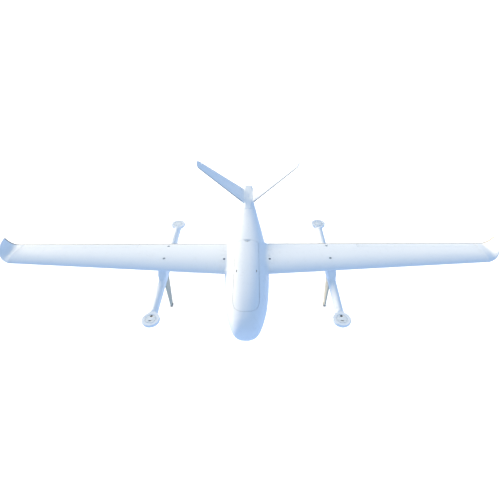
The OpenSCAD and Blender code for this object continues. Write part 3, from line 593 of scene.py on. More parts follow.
def gelcoat(name, base=(0.86, 0.88, 0.9), dirt=0.35, rough=0.3, te=None, vee=None):
    """white moulded composite: faint mottling, handling marks, dust in the low spots, fine orange peel; te and vee add
    painted shade lines along edges
    """
    m, nt, b = nodes_of(name)
    c = coords(nt)
    big = noise(nt, 3.0, 3, 0.5, c)
    fine = noise(nt, 45.0, 6, 0.6, c, 0.3)
    streak = noise(nt, 1.0, 5, 0.6, coords(nt, (60, 5, 30)))
    tint = mix(nt, ramp(nt, big, [(0.35, 0.0), (0.7, 1.0)]), base, tuple(x * y for x, y in zip(base, (0.985, 0.99, 1.0))))
    grime = math_node(nt, "MULTIPLY", ramp(nt, fine, [(0.52, 0.0), (0.78, 1.0)]), ramp(nt, streak, [(0.45, 0.0), (0.75, 1.0)]))
    grime = math_node(nt, "MULTIPLY", grime, dirt)
    col = mix(nt, grime, tint, (0.55, 0.55, 0.53))
    wear = math_node(nt, "MULTIPLY", edge_mask(nt), ramp(nt, noise(nt, 30, 4, 0.6, c), [(0.45, 0.0), (0.7, 0.5)]))
    col = mix(nt, wear, col, (0.7, 0.71, 0.72))
    if te is not None:  # soft grey line along the trailing edge, painted edge shade
        sp_ = nt.nodes.new("ShaderNodeSeparateXYZ")
        nt.links.new(c, sp_.inputs[0])
        edge = ramp(nt, math_node(nt, "ADD", math_node(nt, "MULTIPLY", math_node(nt, "SUBTRACT", sp_.outputs[1], te), 100.0), 0.5), [(0.35, 0.0), (0.75, 1.0)])
        # painted shade: the strip at the trailing edge is darkened to grey
        col = mix(nt, edge, col, (0.36, 0.32, 0.27))
    if vee is not None:  # the same painted shade line along both edges of a fin; vee = x0, z0, angle, le0, le slope, te0, te slope in metres
        x0, z0, ang, l0, l1, t0, t1 = vee
        sp_ = nt.nodes.new("ShaderNodeSeparateXYZ")
        nt.links.new(c, sp_.inputs[0])
        rx = math_node(nt, "MULTIPLY", math_node(nt, "SUBTRACT", math_node(nt, "ABSOLUTE", sp_.outputs[0], 0.0), x0), math.cos(ang))
        rz = math_node(nt, "MULTIPLY", math_node(nt, "SUBTRACT", sp_.outputs[2], z0), math.sin(ang))
        rr = math_node(nt, "ADD", rx, rz)
        aft = math_node(nt, "SUBTRACT", sp_.outputs[1], math_node(nt, "ADD", math_node(nt, "MULTIPLY", rr, t1), t0 - 0.004))
        fore = math_node(nt, "SUBTRACT", math_node(nt, "ADD", math_node(nt, "MULTIPLY", rr, l1), l0 + 0.003), sp_.outputs[1])
        edge = math_node(nt, "MAXIMUM", aft, fore)
        edge = ramp(nt, math_node(nt, "ADD", math_node(nt, "MULTIPLY", edge, 200.0), 0.5), [(0.35, 0.0), (0.75, 1.0)])
        # painted shade: leading and trailing edges of the fin darkened to grey
        col = mix(nt, edge, col, (0.40, 0.39, 0.38))
    nt.links.new(col, b.inputs["Base Color"])
    r = mix(nt, ramp(nt, fine, [(0.3, 0.0), (0.75, 1.0)]), (rough,) * 3, (rough + 0.16,) * 3)
    nt.links.new(r, b.inputs["Roughness"])
    b.inputs["Coat Weight"].default_value = 0.35
    b.inputs["Coat Roughness"].default_value = 0.18
    b.inputs["IOR"].default_value = 1.48
    peel = math_node(nt, "ADD", math_node(nt, "MULTIPLY", noise(nt, 260, 3, 0.5, c), 0.35), noise(nt, 14, 3, 0.5, c))
    bump(nt, b, peel, 0.09, 0.0012)
    return m


def plain(name, base, rough=0.5, var=0.12, scale=60, metal=0.0, bump_s=0.15, dust=0.15, aniso=None, dustcol=(0.45, 0.44, 0.42)):
    m, nt, b = nodes_of(name)
    c = coords(nt, aniso or (1, 1, 1))
    n1 = noise(nt, scale, 5, 0.6, c)
    n2 = noise(nt, scale * 0.12, 3, 0.5, coords(nt))
    dark = tuple(max(0, x * (1 - var)) for x in base)
    light = tuple(min(1, x * (1 + var)) for x in base)
    col = mix(nt, ramp(nt, n1, [(0.3, 0.0), (0.7, 1.0)]), dark, light)
    col = mix(nt, math_node(nt, "MULTIPLY", ramp(nt, n2, [(0.5, 0.0), (0.8, 1.0)]), dust), col, dustcol)
    col = mix(nt, math_node(nt, "MULTIPLY", edge_mask(nt), 0.5), col, tuple(min(1, x * 1.5 + 0.06) for x in base))
    nt.links.new(col, b.inputs["Base Color"])
    r = mix(nt, ramp(nt, n1, [(0.25, 0.0), (0.75, 1.0)]), (max(0.05, rough - 0.1),) * 3, (min(1, rough + 0.12),) * 3)
    nt.links.new(r, b.inputs["Roughness"])
    b.inputs["Metallic"].default_value = metal
    bump(nt, b, n1, bump_s, 0.0004)
    return m


def carbon(name):
    """2 x 2 twill under clear resin"""
    m, nt, b = nodes_of(name)
    c = coords(nt)
    w1 = add(nt, "ShaderNodeTexWave", wave_type="BANDS", bands_direction="DIAGONAL", **{"Scale": 160.0, "Distortion": 0.4, "Detail": 1.0})
    nt.links.new(c, w1.inputs[0])
    ck = add(nt, "ShaderNodeTexChecker", **{"Scale": 420.0})
    nt.links.new(c, ck.inputs[0])
    v = math_node(nt, "ADD", math_node(nt, "MULTIPLY", w1.outputs[1], 0.6), math_node(nt, "MULTIPLY", ck.outputs[1], 0.4))
    col = mix(nt, v, (0.012, 0.012, 0.014), (0.055, 0.056, 0.06))
    nt.links.new(col, b.inputs["Base Color"])
    b.inputs["Roughness"].default_value = 0.34
    b.inputs["Coat Weight"].default_value = 0.8
    b.inputs["Coat Roughness"].default_value = 0.08
    bump(nt, b, v, 0.12, 0.0002)
    return m


def plywood(name):
    m, nt, b = nodes_of(name)
    g = noise(nt, 1.0, 8, 0.65, coords(nt, (220, 14, 40)))
    ply = add(nt, "ShaderNodeTexWave", wave_type="BANDS", bands_direction="Y", **{"Scale": 330.0, "Distortion": 0.5})
    nt.links.new(coords(nt), ply.inputs[0])
    col = mix(nt, ramp(nt, g, [(0.3, 0.0), (0.72, 1.0)]), (0.62, 0.45, 0.27), (0.83, 0.67, 0.46))
    col = mix(nt, math_node(nt, "MULTIPLY", ply.outputs[1], 0.12), col, (0.4, 0.26, 0.14))
    nt.links.new(col, b.inputs["Base Color"])
    b.inputs["Roughness"].default_value = 0.62
    bump(nt, b, g, 0.2, 0.0003)
    return m


def webbing(name):
    m, nt, b = nodes_of(name)
    w1 = add(nt, "ShaderNodeTexWave", wave_type="BANDS", bands_direction="X", **{"Scale": 320.0, "Distortion": 0.6})
    w2 = add(nt, "ShaderNodeTexWave", wave_type="BANDS", bands_direction="Y", **{"Scale": 240.0, "Distortion": 0.4})
    c = coords(nt)
    nt.links.new(c, w1.inputs[0])
    nt.links.new(c, w2.inputs[0])
    v = math_node(nt, "MULTIPLY", w1.outputs[1], w2.outputs[1])
    col = mix(nt, v, (0.012, 0.012, 0.014), (0.06, 0.06, 0.066))
    nt.links.new(col, b.inputs["Base Color"])
    b.inputs["Roughness"].default_value = 0.85
    b.inputs["Sheen Weight"].default_value = 0.4
    bump(nt, b, v, 0.5, 0.0006)
    return m


gelcoat("white_gelcoat")
# the wing finish carries a painted shade line along the last 8 mm of its trailing edge
gelcoat("white_wing", te=(WTE - 8.0 - S0) / 1000.0)
# the fin finish carries painted shade lines along its leading and trailing edges
gelcoat("white_fin", vee=(0.024, 0.32, math.radians(35.6), (891.0 - S0) / 1000.0, 87.0 / 337.0, (1059.0 - S0) / 1000.0, -2.0 / 337.0))
gelcoat("white_inside", (0.74, 0.76, 0.78), 0.5, 0.55)
plain("white_plate", (0.70, 0.73, 0.74), 0.38, 0.05, 90, 0.0, 0.08, 0.12)
plain("leg_grey", (0.52, 0.48, 0.38), 0.55, 0.1, 70, 0.0, 0.25, 0.25)
plain("foot_rubber", (0.11, 0.11, 0.11), 0.8, 0.25, 120, 0.0, 0.4, 0.35)
plain("black_plastic", (0.028, 0.028, 0.031), 0.5, 0.25, 180, 0.0, 0.25, 0.12)
plain("grey_plastic", (0.28, 0.29, 0.3), 0.5, 0.12, 120, 0.0, 0.2, 0.12)
plain("dark_button", (0.05, 0.07, 0.1), 0.42, 0.2, 150, 0.0, 0.2, 0.1)
plain("steel", (0.52, 0.54, 0.57), 0.3, 0.12, 40, 1.0, 0.1, 0.05, (1, 1, 12))
plain("screw_grey", (0.27, 0.31, 0.34), 0.4, 0.12, 120, 0.5, 0.1, 0.1)
plain("dark_alloy", (0.10, 0.13, 0.17), 0.4, 0.12, 120, 0.6, 0.1, 0.08)
plain("alloy", (0.7, 0.72, 0.75), 0.3, 0.06, 50, 1.0, 0.1, 0.05, (1, 14, 1))
plain("battery_wrap", (0.03, 0.045, 0.1), 0.25, 0.15, 25, 0.0, 0.2, 0.06)
plain("cell_label", (0.75, 0.6, 0.12), 0.35, 0.08, 40, 0.0, 0.05, 0.05)
plain("cable_black", (0.02, 0.02, 0.022), 0.5, 0.2, 90, 0.0, 0.2, 0.1)
plain("cable_red", (0.42, 0.02, 0.015), 0.45, 0.15, 90, 0.0, 0.2, 0.1)
# near black with a blue cast: painted shade for the hollows inside the pods
plain("cavity", (0.012, 0.018, 0.028), 0.7, 0.2, 60, 0.0, 0.1, 0.05)
carbon("carbon")
plywood("plywood")
webbing("webbing")


# ------------------------------------------------------------------ fuselage
ANG = np.linspace(0, math.pi, 97)
S_NOSE = np.linspace(0, 10, 31) ** 2
S_ALL = np.concatenate([S_NOSE, np.linspace(100, 1061.9, 112)[1:]])


def shell(up, ss, g0, g1, ang=ANG):
    return loft([np.concatenate([farc(s, ang, g0, up), farc(s, ang, g1, up)[::-1]]) for s in ss])


def hatch_outline(g, k=40):
    a = np.radians(180 + 180 * np.arange(k + 1) / k)
    b = np.radians(180 * np.arange(k + 1) / k)
    p = np.stack([(HW + g) * np.sign(np.cos(a)) * np.abs(np.cos(a)) ** 0.8, HS0 + 75 - (75 + g) * np.abs(np.sin(a)) ** 0.8], 1)
    q = np.stack([(HW + g) * np.sign(np.cos(b)) * np.abs(np.cos(b)) ** 0.7, HS1 - 30 + (30 + g) * np.abs(np.sin(b)) ** 0.7], 1)
    side = lambda x, s0, s1: np.stack([np.full(40, x), np.linspace(s0, s1, 42)[1:-1]], 1)
    return np.concatenate([p, side(HW + g, p[-1, 1], q[0, 1]), q, side(-HW - g, q[-1, 1], p[0, 1])])


def root_stub(sgn):
    """moulded wing root with a fillet that runs up the fuselage side"""
    x1 = SEAM - 0.1
    c, le = WTE - wle(x1), wle(x1)
    k = 80
    u = (1 + np.cos(np.pi * np.arange(k + 1) / k)) / 2
    cols = []
    for sd in (1, -1):
        s, h = le + u * c, wz(x1, u, sd)
        h[-1] = sd * 0.06
        p = np.stack([s, h], 1)
        t = np.gradient(p, axis=0)
        n = np.stack([t[:, 1], -t[:, 0]], 1) * sd
        n /= np.linalg.norm(n, axis=1, keepdims=True)
        n[n[:, 1] * sd < 0] *= np.array([1, 1])
        n[-1] = (-1, 0.02 * sd)
        a0 = math.atan2(n[1, 1], n[1, 0])
        fan = np.linspace(0, a0, 9)[:-1]
        p = np.concatenate([np.repeat(p[:1], 8, 0), p[1:]])
        n = np.concatenate([np.stack([np.cos(fan), np.sin(fan)], 1), n[1:]])
        cols.append((p, n))
    P = np.concatenate([cols[0][0], cols[1][0][::-1]])
    N = np.concatenate([cols[0][1], cols[1][1][::-1]])
    R = np.clip(SEAM - 1.0 - fus_x(P[:, 0], P[:, 1]), 2.0, 17.0)
    rings = [np.stack([np.full(len(P), x1), *(P + N * 0.01).T], 1)]
    for th in np.radians(np.linspace(0, 90, 19)):
        q = P + N * (R * (1 - math.cos(th)) + 0.012)[:, None]
        x = np.minimum(fus_x(q[:, 0], q[:, 1]) + R * (1 - math.sin(th)), x1 - 0.2 - 0.05 * th)
        rings.append(np.stack([x, q[:, 0], q[:, 1]], 1))
    q = P + N * (R + 0.012)[:, None]
    rings.append(np.stack([fus_x(q[:, 0], q[:, 1]) - 1.1, q[:, 0], q[:, 1]], 1))
    rings = [r * np.array([sgn, 1, 1]) for r in rings]
    return loft(rings, name="stub")


upper = shell(True, S_ALL, 0, SHELL_T)
for sg in (1, -1):
    boolean(upper, root_stub(sg), "UNION")
    boolean(upper, prism(circle_pts(sg * LOCK_X, LOCK_S, 6.2, 48), 1, 60, 2))
boolean(upper, prism(hatch_outline(0.0), -50, 120, 2))
finish_piece(upper, "fuselage_upper_moulding", "white_gelcoat", "airframe", ["fuselage_upper_shell"], 40)
lower = shell(False, S_ALL, 0, SHELL_T)
finish_piece(lower, "fuselage_lower_moulding", "white_gelcoat", "airframe", ["fuselage_lower_shell"], 40)

S_H = np.linspace(56, 548, 90)
hatch = shell(True, S_H, 0, SHELL_T)
boolean(hatch, prism(hatch_outline(-1.3), -50, 120, 2), "INTERSECT")
boolean(hatch, prism(circle_pts(0, HS1 + 3, 19, 72), 0, 90, 2))
for sg in (1, -1):
    boolean(hatch, prism([(sg * 44.4, 293), (sg * 47.6, 293), (sg * 47.6, 307), (sg * 44.4, 307)][::sg], 10, 80, 2))
finish_piece(hatch, "hatch_cover", "white_gelcoat", "top_hatch", ["top_hatch"], 40)


# ------------------------------------------------------------------ wings
def skin_ring(x, sd, g, k=64):
    c = float(WTE - wle(x))
    u = (1 + np.cos(np.pi * np.arange(k + 1) / k)) / 2
    u[-1] = 0
    v = np.maximum(u, g / c)
    h = wz(x, u, sd, g)
    h[-1] = sd * (0.12 if g > 0 else 0.06) + c * camber(v[-1:])[0]
    return np.stack([np.full(k + 1, float(x)), wle(x) + v * c, h], 1)


def wing_skin(sd, xs, k=64):
    return loft([np.concatenate([skin_ring(x, sd, 0, k), skin_ring(x, sd, SKIN, k)[::-1]]) for x in xs])


def bay_tool():
    a = rbox((AIL0 - 1.5, HINGE_S - 2.8, -30), (AIL1 + 1.5, WTE + 6, 40), 0)
    b = rod((AIL0 - 1.5, HINGE_S, HINGE_H), (AIL1 + 1.5, HINGE_S, HINGE_H), 5.4, 64)
    return a, b


def tip_ring(f, k=56):
    L = TIP_S + TIP_R * math.radians(TIP_A) + TIP_L
    d = f * L
    g = max(0.0, d - TIP_S)
    q = min(TIP_A, math.degrees(g / TIP_R))
    e = max(0.0, g - TIP_R * math.radians(TIP_A))
    qr = math.radians(q)
    px, ph = TIP_X0 + min(d, TIP_S) + TIP_R * math.sin(qr) + e * math.cos(qr), TIP_R * (1 - math.cos(qr)) + e * math.sin(qr)
    l0 = float(wle(TIP_X0))
    c0 = WTE - l0
    v = max(0.0, (f - 0.95) / 0.05) ** 2
    a = l0 + 56 * f ** 1.12 + 64 * f ** 4 + 21 * v
    b = WTE - 7 * v
    c = b - a
    th = FT * (1 - 0.35 * f)
    ye = 1 - 0.75 * f ** 6
    u = (1 + np.cos(np.pi * np.arange(k + 1) / k)) / 2
    u[-1] = 0
    t = ye * np.maximum(0.3, c0 * thick(u, th) * (1 - 0.55 * f))
    t[-1] = 0.06
    m = c * camber(u) * (1 - f)
    s = a + u * c
    ring = np.concatenate([np.stack([s, m + t], 1), np.stack([s, m - t], 1)[::-1]])
    return np.stack([px - ring[:, 1] * math.sin(qr), ring[:, 0], ph + ring[:, 1] * math.cos(qr)], 1)


def aileron_ring(x, k=18):
    s = WTE - (WTE - HINGE_S) * (1 - np.cos(np.linspace(0, np.pi / 2, k))) ** 1.0
    s = np.linspace(WTE, HINGE_S, k)
    out = []
    for sd in (1, -1):
        h = wsurf(x, s, sd)
        h = h + (HINGE_H + sd * 4.65 - h[-1]) * ((WTE - s) / (WTE - HINGE_S)) ** 2
        a = np.radians(np.linspace(90, 179.2, 15)[1:])
        arc = np.stack([HINGE_S + 4.65 * np.cos(a), HINGE_H + sd * 4.65 * np.sin(a)], 1)
        out.append(np.concatenate([np.stack([s, h], 1), arc]))
    p = np.concatenate([out[0], out[1][::-1]])
    return np.stack([np.full(len(p), float(x)), p[:, 0], p[:, 1]], 1)


def horn_plate(x0, x1, s0, h0, drop=14.0):
    """control horn: rounded plate with its link hole, a foot on the surface"""
    pts = [(s0 - 2.4, h0 - 4.3), (s0 + 9, h0 - 4.0), (s0 + 3.2, h0 - drop + 1.5)]
    a = np.radians(np.linspace(20, -200, 18))
    pts += [(s0 + 2.9 * math.cos(t), h0 - drop + 2.9 * math.sin(t)) for t in a]
    ob = prism(pts[::-1], x0, x1, 0)
    boolean(ob, rod((x0 - 1, s0, h0 - drop), (x1 + 1, s0, h0 - drop), 1.15, 24))
    return ob


XS = np.linspace(SEAM + 0.1, TIP_X0 - 0.1, 41)
for side, name in ((1, "left"), (-1, "right")):
    for sd, part in ((1, "upper"), (-1, "lower")):
        sk = wing_skin(sd, XS)
        for t in bay_tool():
            boolean(sk, t)
        if sd > 0:
            boolean(sk, prism(circle_pts(LOCK_X, LOCK_S, 6.2, 48), 1, 60, 2))
            for s in SCREW_S:
                boolean(sk, prism(circle_pts(BX, s, 7.0, 56), 0, 60, 2))
        else:
            boolean(sk, rbox((860 - 34, 444, -20), (860 + 12, 492, 4), 0))
            boolean(sk, rbox((860.9, 511, -20), (863.9, 519, 1), 0))
        finish_piece(sk, f"{name}_wing_{part}_surface", "white_wing", "airframe", [f"{name}_wing_{part}_skin"], 40, side=side)
    tip = loft([tip_ring(f) for f in 1 - np.linspace(1, 0, 56) ** 1.35])
    finish_piece(tip, f"{name}_wing_tip_fairing", "white_wing", "airframe", [f"{name}_wing_tip"], 40, side=side)
    ai = loft([aileron_ring(x) for x in np.linspace(AIL0, AIL1, 13)])
    boolean(ai, rod((AIL0 - 2, HINGE_S, HINGE_H), (AIL1 + 2, HINGE_S, HINGE_H), 1.08, 24))
    finish_piece(ai, f"{name}_aileron_surface", "white_wing", f"{name}_aileron", [f"{name}_aileron"], 40, side=side)
    hp = horn_plate(861.4, 863.4, HINGE_S, HINGE_H)
    finish_piece(hp, f"{name}_aileron_horn_plate", "black_plastic", f"{name}_aileron", (), 40, side=side)
    # servo cover set in the lower skin
    cv = wing_skin(-1, np.linspace(820, 880, 7))
    boolean(cv, rbox((860 - 33.7, 444.3, -20), (860 + 11.7, 491.7, 3.9), 0), "INTERSECT")
    boolean(cv, rbox((860.3, 461, -24), (867.2, 479, 4), 0))
    finish_piece(cv, f"{name}_aileron_servo_lid", "white_gelcoat", "airframe", (), 40, side=side)


# ------------------------------------------------------------------ booms, pods, saddles
def boom_mesh():
    a, b = POD_S0 + 42, POD_S1 - 42
    pr = [(14.6, a), (16, a), (16, POD_S0 + 62.3), (17.4, POD_S0 + 62.3), (18.2, POD_S0 + 63.1)]
    pr += [(18.2 + 0.8 * t, POD_S0 + 63.1 + (300 - POD_S0 - 63.1) * t) for t in np.linspace(0, 1, 14)[1:]]
    pr += [(19, s) for s in np.linspace(300, 600, 16)[1:]]
    pr += [(19 - 0.8 * t, 600 + (POD_S1 - 63.1 - 600) * t) for t in np.linspace(0, 1, 14)[1:]]
    pr += [(17.4, POD_S1 - 62.3), (16, POD_S1 - 62.3), (16, b), (14.6, b), (14.6, POD_S1 - 70), (17.3, POD_S1 - 80), (17.3, POD_S0 + 80), (14.6, POD_S0 + 70)]
    return lathe(pr, (BX, 0, BOOM_H), "s", 96, "boom")


def pod_field(x, s, h):
    r = np.sqrt(x * x + s * s)
    dz = np.maximum(0, -43.5 - h)
    p = 2.2
    m = ((r / POD_R) ** p + (dz / 17.5) ** p) ** (1 / p) + 1e-6
    rho = np.sqrt(r * r + dz * dz)
    bowl = rho - rho / m
    rn = np.interp(s, [0, 6, 13, 23, 36, 50, 62], [8.5, 12.5, 15.5, 17.6, 18.4, 18.4, 18.2])
    neck = np.sqrt(x * x + (h - BOOM_H) ** 2) - rn
    neck = np.maximum(neck, -s - 1)
    d = smin(bowl, neck, 9.0)
    lift = np.clip((s - 38.5) / 13.0, 0, 1)
    d = smax(d, h - (POD_TOP + 4.0 * lift * lift * (3 - 2 * lift)), 2.0)
    return smax(d, s - 62.0, 0.8)


def pod_mesh():
    ob = surface_nets(pod_field, (-41, -41, -74), (41, 65, -30), 1.1)
    boolean(ob, lathe([(0, POD_TOP - 4), (24, POD_TOP - 4), (24, POD_TOP - 1.0), (25.2, POD_TOP + 0.2), (25.2, POD_TOP + 8), (0, POD_TOP + 8)], (0, 0, 0), "h", 96))
    boolean(ob, prism(circle_pts(0, 0, 22, 96), POD_TOP - 23, POD_TOP - 3, 2))
    boolean(ob, rod((0, 15, BOOM_H + 7), (0, 43, BOOM_H + 7), 4.0, 32))
    boolean(ob, rod((0, 41.5, BOOM_H), (0, 64, BOOM_H), 16.1, 64))
    return ob


def mount_plate(front):
    """plate let into the pod: a turned ring round the rim, bolt holes, and in front a wire hole and a slot"""
    pr = [(0, 0), (23.5, 0), (23.5, 3.3), (22.9, 3.9), (21.9, 3.9), (21.5, 3.45), (20.9, 3.45), (20.5, 3.9), (0, 3.9)]
    ob = lathe(pr, (0, 0, POD_TOP - 3.9), "h", 96)
    for a in (45, 135, 225, 315):
        x, y = 12.5 * math.cos(math.radians(a)), 12.5 * math.sin(math.radians(a))
        boolean(ob, prism(circle_pts(x, y, 1.6, 24), POD_TOP - 6, POD_TOP + 2, 2))
    if front:
        boolean(ob, prism(circle_pts(0, 15.4, 6.2, 48), POD_TOP - 6, POD_TOP + 2, 2))
        boolean(ob, prism([(-5.8, -13.4), (5.8, -13.4), (5.8, -7.2), (-5.8, -7.2)], POD_TOP - 6, POD_TOP + 2, 2))
    return ob


def saddle_field(x, s, h):
    xr = x - BX
    t = np.clip((s - 457) / 91.0, -1, 1)
    end = np.sqrt(np.clip(1 - np.abs(t) ** 4, 0, 1))
    hw = 17.5 + 7.0 * np.clip((h - (BOOM_H + 8)) / 28.0, 0, 1) ** 1.5
    core = smax(smax(np.abs(xr) - hw * (0.35 + 0.65 * end), np.abs(s - 457) - 91.0, 6.0), (BOOM_H - 2) - h, 2.0)
    boomd = np.sqrt(xr * xr + (h - BOOM_H) ** 2) - (BOOM_R - 0.35)
    boomd = np.maximum(boomd, np.abs(s - 436.5) - 119.5)
    low = wsurf(x, s, -1)
    wingd = (low + 0.35) - h
    wingd = np.maximum(wingd, np.maximum(np.abs(s - 457) - 99, np.abs(xr) - 34))
    line = -33.5 + (s - 318.0) * 0.84
    nose_w = 19.6 * np.sqrt(np.clip((s - 315.0) / 22.0, 0, 1))
    nose = smax(smax(np.abs(xr) - nose_w, h - np.minimum(line, 10.0), 5.0), np.maximum(316.0 - s, s - 392.0), 2.0)
    nose = np.maximum(nose, (BOOM_H - 2) - h)
    d = smin(smin(smin(core, nose, 8.0), boomd, 7.0), wingd, 7.0)
    d = np.maximum(d, h - np.where(s < 347.5, 20.0, low - 0.04))
    d = np.maximum(d, -(np.sqrt(xr * xr + (h - BOOM_H) ** 2) - (BOOM_R - 1.6)))
    return np.maximum(d, (BOOM_H - 4) - h)


pod0 = pod_mesh()
plate0 = {"front": mount_plate(True), "rear": mount_plate(False)}
sad0 = surface_nets(saddle_field, (BX - 36, 312, -58), (BX + 36, 560, 2), 1.5)
boom0 = boom_mesh()


def shifted(ob, dx=0.0, ds=0.0, dh=0.0, flip_s=False):
    o = copy_ob(ob)
    n = len(o.data.vertices)
    co = np.zeros(n * 3, np.float32)
    o.data.vertices.foreach_get("co", co)
    co = co.reshape(-1, 3)
    if flip_s:
        co[:, 1] *= -1
        o.data.flip_normals()
    co += np.array([dx, ds, dh], np.float32)
    o.data.vertices.foreach_set("co", co.ravel())
    o.data.update()
    return o


for side, name in ((1, "left"), (-1, "right")):
    finish_piece(copy_ob(boom0), f"{name}_boom_tube", "white_gelcoat", "airframe", [f"{name}_boom"], 40, side=side)
    for s, end, fl in ((POD_S0, "front", False), (POD_S1, "rear", True)):
        shell_ob = finish_piece(shifted(pod0, BX, s, 0, fl), f"{name}_{end}_pod_shell", "white_gelcoat", "airframe", ["motor_pods"], 40, side=side)
        shell_ob.data.materials.append(MATS["cavity"])
        for pl in shell_ob.data.polygons:  # the hollow under the plate is painted dark as shade
            cx, cs, ch = pl.center.x * 1000 * side - BX, pl.center.y * 1000 + S0 - s, pl.center.z * 1000 - H0
            if math.hypot(cx, cs) < 22.4 and POD_TOP - 23.3 < ch < POD_TOP - 3.9:
                pl.material_index = 1
        finish_piece(shifted(plate0[end], BX, s, 0, False), f"{name}_{end}_mount_plate", "white_plate", "airframe", ["motor_mount_plates"], 40, side=side)
        # a dark disc laid on the hollow's floor: painted shade
        fl_ob = lathe([(0, 0), (21.8, 0), (21.8, 0.6), (0, 0.6)], (BX, s, POD_TOP - 22.9), "h", 48)
        finish_piece(fl_ob, f"{name}_{end}_pod_floor", "cavity", "airframe", (), 40, side=side)
    finish_piece(copy_ob(sad0), f"{name}_saddle_fairing", "white_gelcoat", "airframe", ["boom_saddles"], 40, side=side)
drop(pod0, *plate0.values(), sad0, boom0)


# ------------------------------------------------------------------ legs, feet, screws
def leg_mesh(l):
    """blade leg from the two top corners to the two foot corners, with its base block under the boom"""
    t = BOOM_H - BOOM_R
    key = [(l[0] + 2, t - 1), (l[0], t - 14), (l[2], -262), (l[2] + 5, -274.2), (l[3] - 7, -274.2), (l[3], -257), (l[1], t - 14), (l[1] - 2, t - 1)]
    pts = []
    n = len(key)
    for i in range(n):  # rounded corners
        p0, p1, p2 = [np.array(key[(i + q) % n], float) for q in (-1, 0, 1)]
        r = 6.0 if i in (2, 5) else (3.5 if i in (3, 4) else 0.01)
        a, b = (p0 - p1) / np.linalg.norm(p0 - p1), (p2 - p1) / np.linalg.norm(p2 - p1)
        if r < 1:
            pts.append(p1)
            continue
        for q in np.linspace(0, 1, 7):
            pts.append((1 - q) ** 2 * (p1 + a * r) + 2 * q * (1 - q) * p1 + q * q * (p1 + b * r))
    blade = prism(pts, BX - 4, BX + 4, 0)
    blade = eased(blade, 1.6, 3)
    base = rbox((BX - 14, l[0] - 14, t - 4), (BX + 14, l[1] + 14, t + 6), 2.0, 3)
    boolean(base, rod((BX, l[0] - 20, BOOM_H), (BX, l[1] + 20, BOOM_H), BOOM_R + 0.1, 96))
    boolean(blade, rod((BX, l[0] - 20, BOOM_H), (BX, l[1] + 20, BOOM_H), BOOM_R + 0.1, 96))
    boolean(base, blade, "UNION")
    for s in (l[0] - 7, l[1] + 7):
        boolean(base, prism(circle_pts(BX, s, 2.1, 24), t - 10, t + 10, 2))
    return base


def foot_mesh(l):
    a, b = l[2] + 5, l[3] - 7
    ob = rbox((BX - 6, a, -H0), (BX + 6, b, -H0 + 5.7), 1.2, 3)
    s = a + 3.0
    while s < b - 3:
        boolean(ob, rbox((BX - 7, s, -H0 - 1), (BX + 7, s + 1.6, -H0 + 0.9), 0))
        s += 4.4
    return ob


def screw_mesh(x, s, h_top, r, head, down, hexr):
    """button head with a hex socket, pointing up when down is -1"""
    pr = [(0, 0), (r, 0), (r, 0.4 * head), (r * 0.93, 0.75 * head), (r * 0.75, head), (0, head)]
    ob = lathe(pr, (0, 0, 0), "h", 40)
    a = np.radians(np.arange(6) * 60)
    boolean(ob, prism(np.stack([hexr * np.cos(a), hexr * np.sin(a)], 1), head * 0.35, head + 1, 2))
    n = len(ob.data.vertices)
    co = np.zeros(n * 3, np.float32)
    ob.data.vertices.foreach_get("co", co)
    co = co.reshape(-1, 3)
    if down > 0:
        co[:, 2] *= -1
        ob.data.flip_normals()
    co += np.array([x, s, h_top], np.float32)
    ob.data.vertices.foreach_set("co", co.ravel())
    ob.data.update()
    return ob


for side, name in ((1, "left"), (-1, "right")):
    for l, end in (((354, 434, 372, 409), "front"), ((580, 652, 666, 702), "rear")):
        finish_piece(leg_mesh(l), f"{name}_{end}_leg_blade", "leg_grey", "airframe", ["landing_legs"], 40, side=side)
        finish_piece(foot_mesh(l), f"{name}_{end}_foot_pad", "foot_rubber", "airframe", ["foot_pads"], 40, side=side)
        for i, s in enumerate((l[0] - 7, l[1] + 7)):
            sc = screw_mesh(BX, s, BOOM_H - BOOM_R - 4.1, 3.8, 2.5, 1, 1.5)
            finish_piece(sc, f"{name}_{end}_leg_screw_{i + 1}", "steel", "airframe", ["leg_screws"], 40, side=side)
    for i, s in enumerate(SCREW_S):
        top = float(wsurf(BX, s, 1))
        sc = screw_mesh(BX, s, top - 3.3, 6.7, 3.2, -1, 2.2)
        finish_piece(sc, f"{name}_boom_screw_{i + 1}", "screw_grey", "airframe", ["boom_screws"], 40, side=side)
    # wing lock: ring and button
    top = float(wsurf(LOCK_X, LOCK_S, 1))
    rg = lathe([(3.97, 1.4), (3.97, top - 0.2), (4.4, top + 0.25), (5.7, top + 0.25), (6.1, top - 0.1), (6.1, 0.4), (0, 0.4), (0, 1.4)], (LOCK_X, LOCK_S, 0), "h", 64)
    finish_piece(rg, f"{name}_wing_lock_ring", "dark_alloy", "airframe", ["wing_lock_housings"], 40, side=side)
    bt = lathe([(0, 5), (2, 5), (2, 8), (3.9, 8), (3.9, top + 0.1), (3.5, top + 0.6), (1.2, top + 0.45), (0, top + 0.4)], (LOCK_X, LOCK_S, 0), "h", 48)
    finish_piece(bt, f"{name}_wing_lock_cap", "dark_button", f"{name}_wing_lock_button", [f"{name}_wing_lock_button"], 40, side=side)


# ------------------------------------------------------------------ tail
FIN_X, FIN_H, FIN_A, FIN_LEN = 24.0, 40.0, math.radians(35.6), 337.0
LE0, LE1, TE0, TE1, FIN_T = 891.0, 978.0, 1059.0, 1057.0, 0.1
FH0, FH1 = 1008.5, 1034.5
SWEEP = math.atan2(FH1 - FH0, FIN_LEN)
RUD_A, RUD_B, RUD_R0, RUD_R1, RUD_SERVO, RUD_ROD = 26.0, 308.0, 4.7, 2.5, 74.0, 46.0


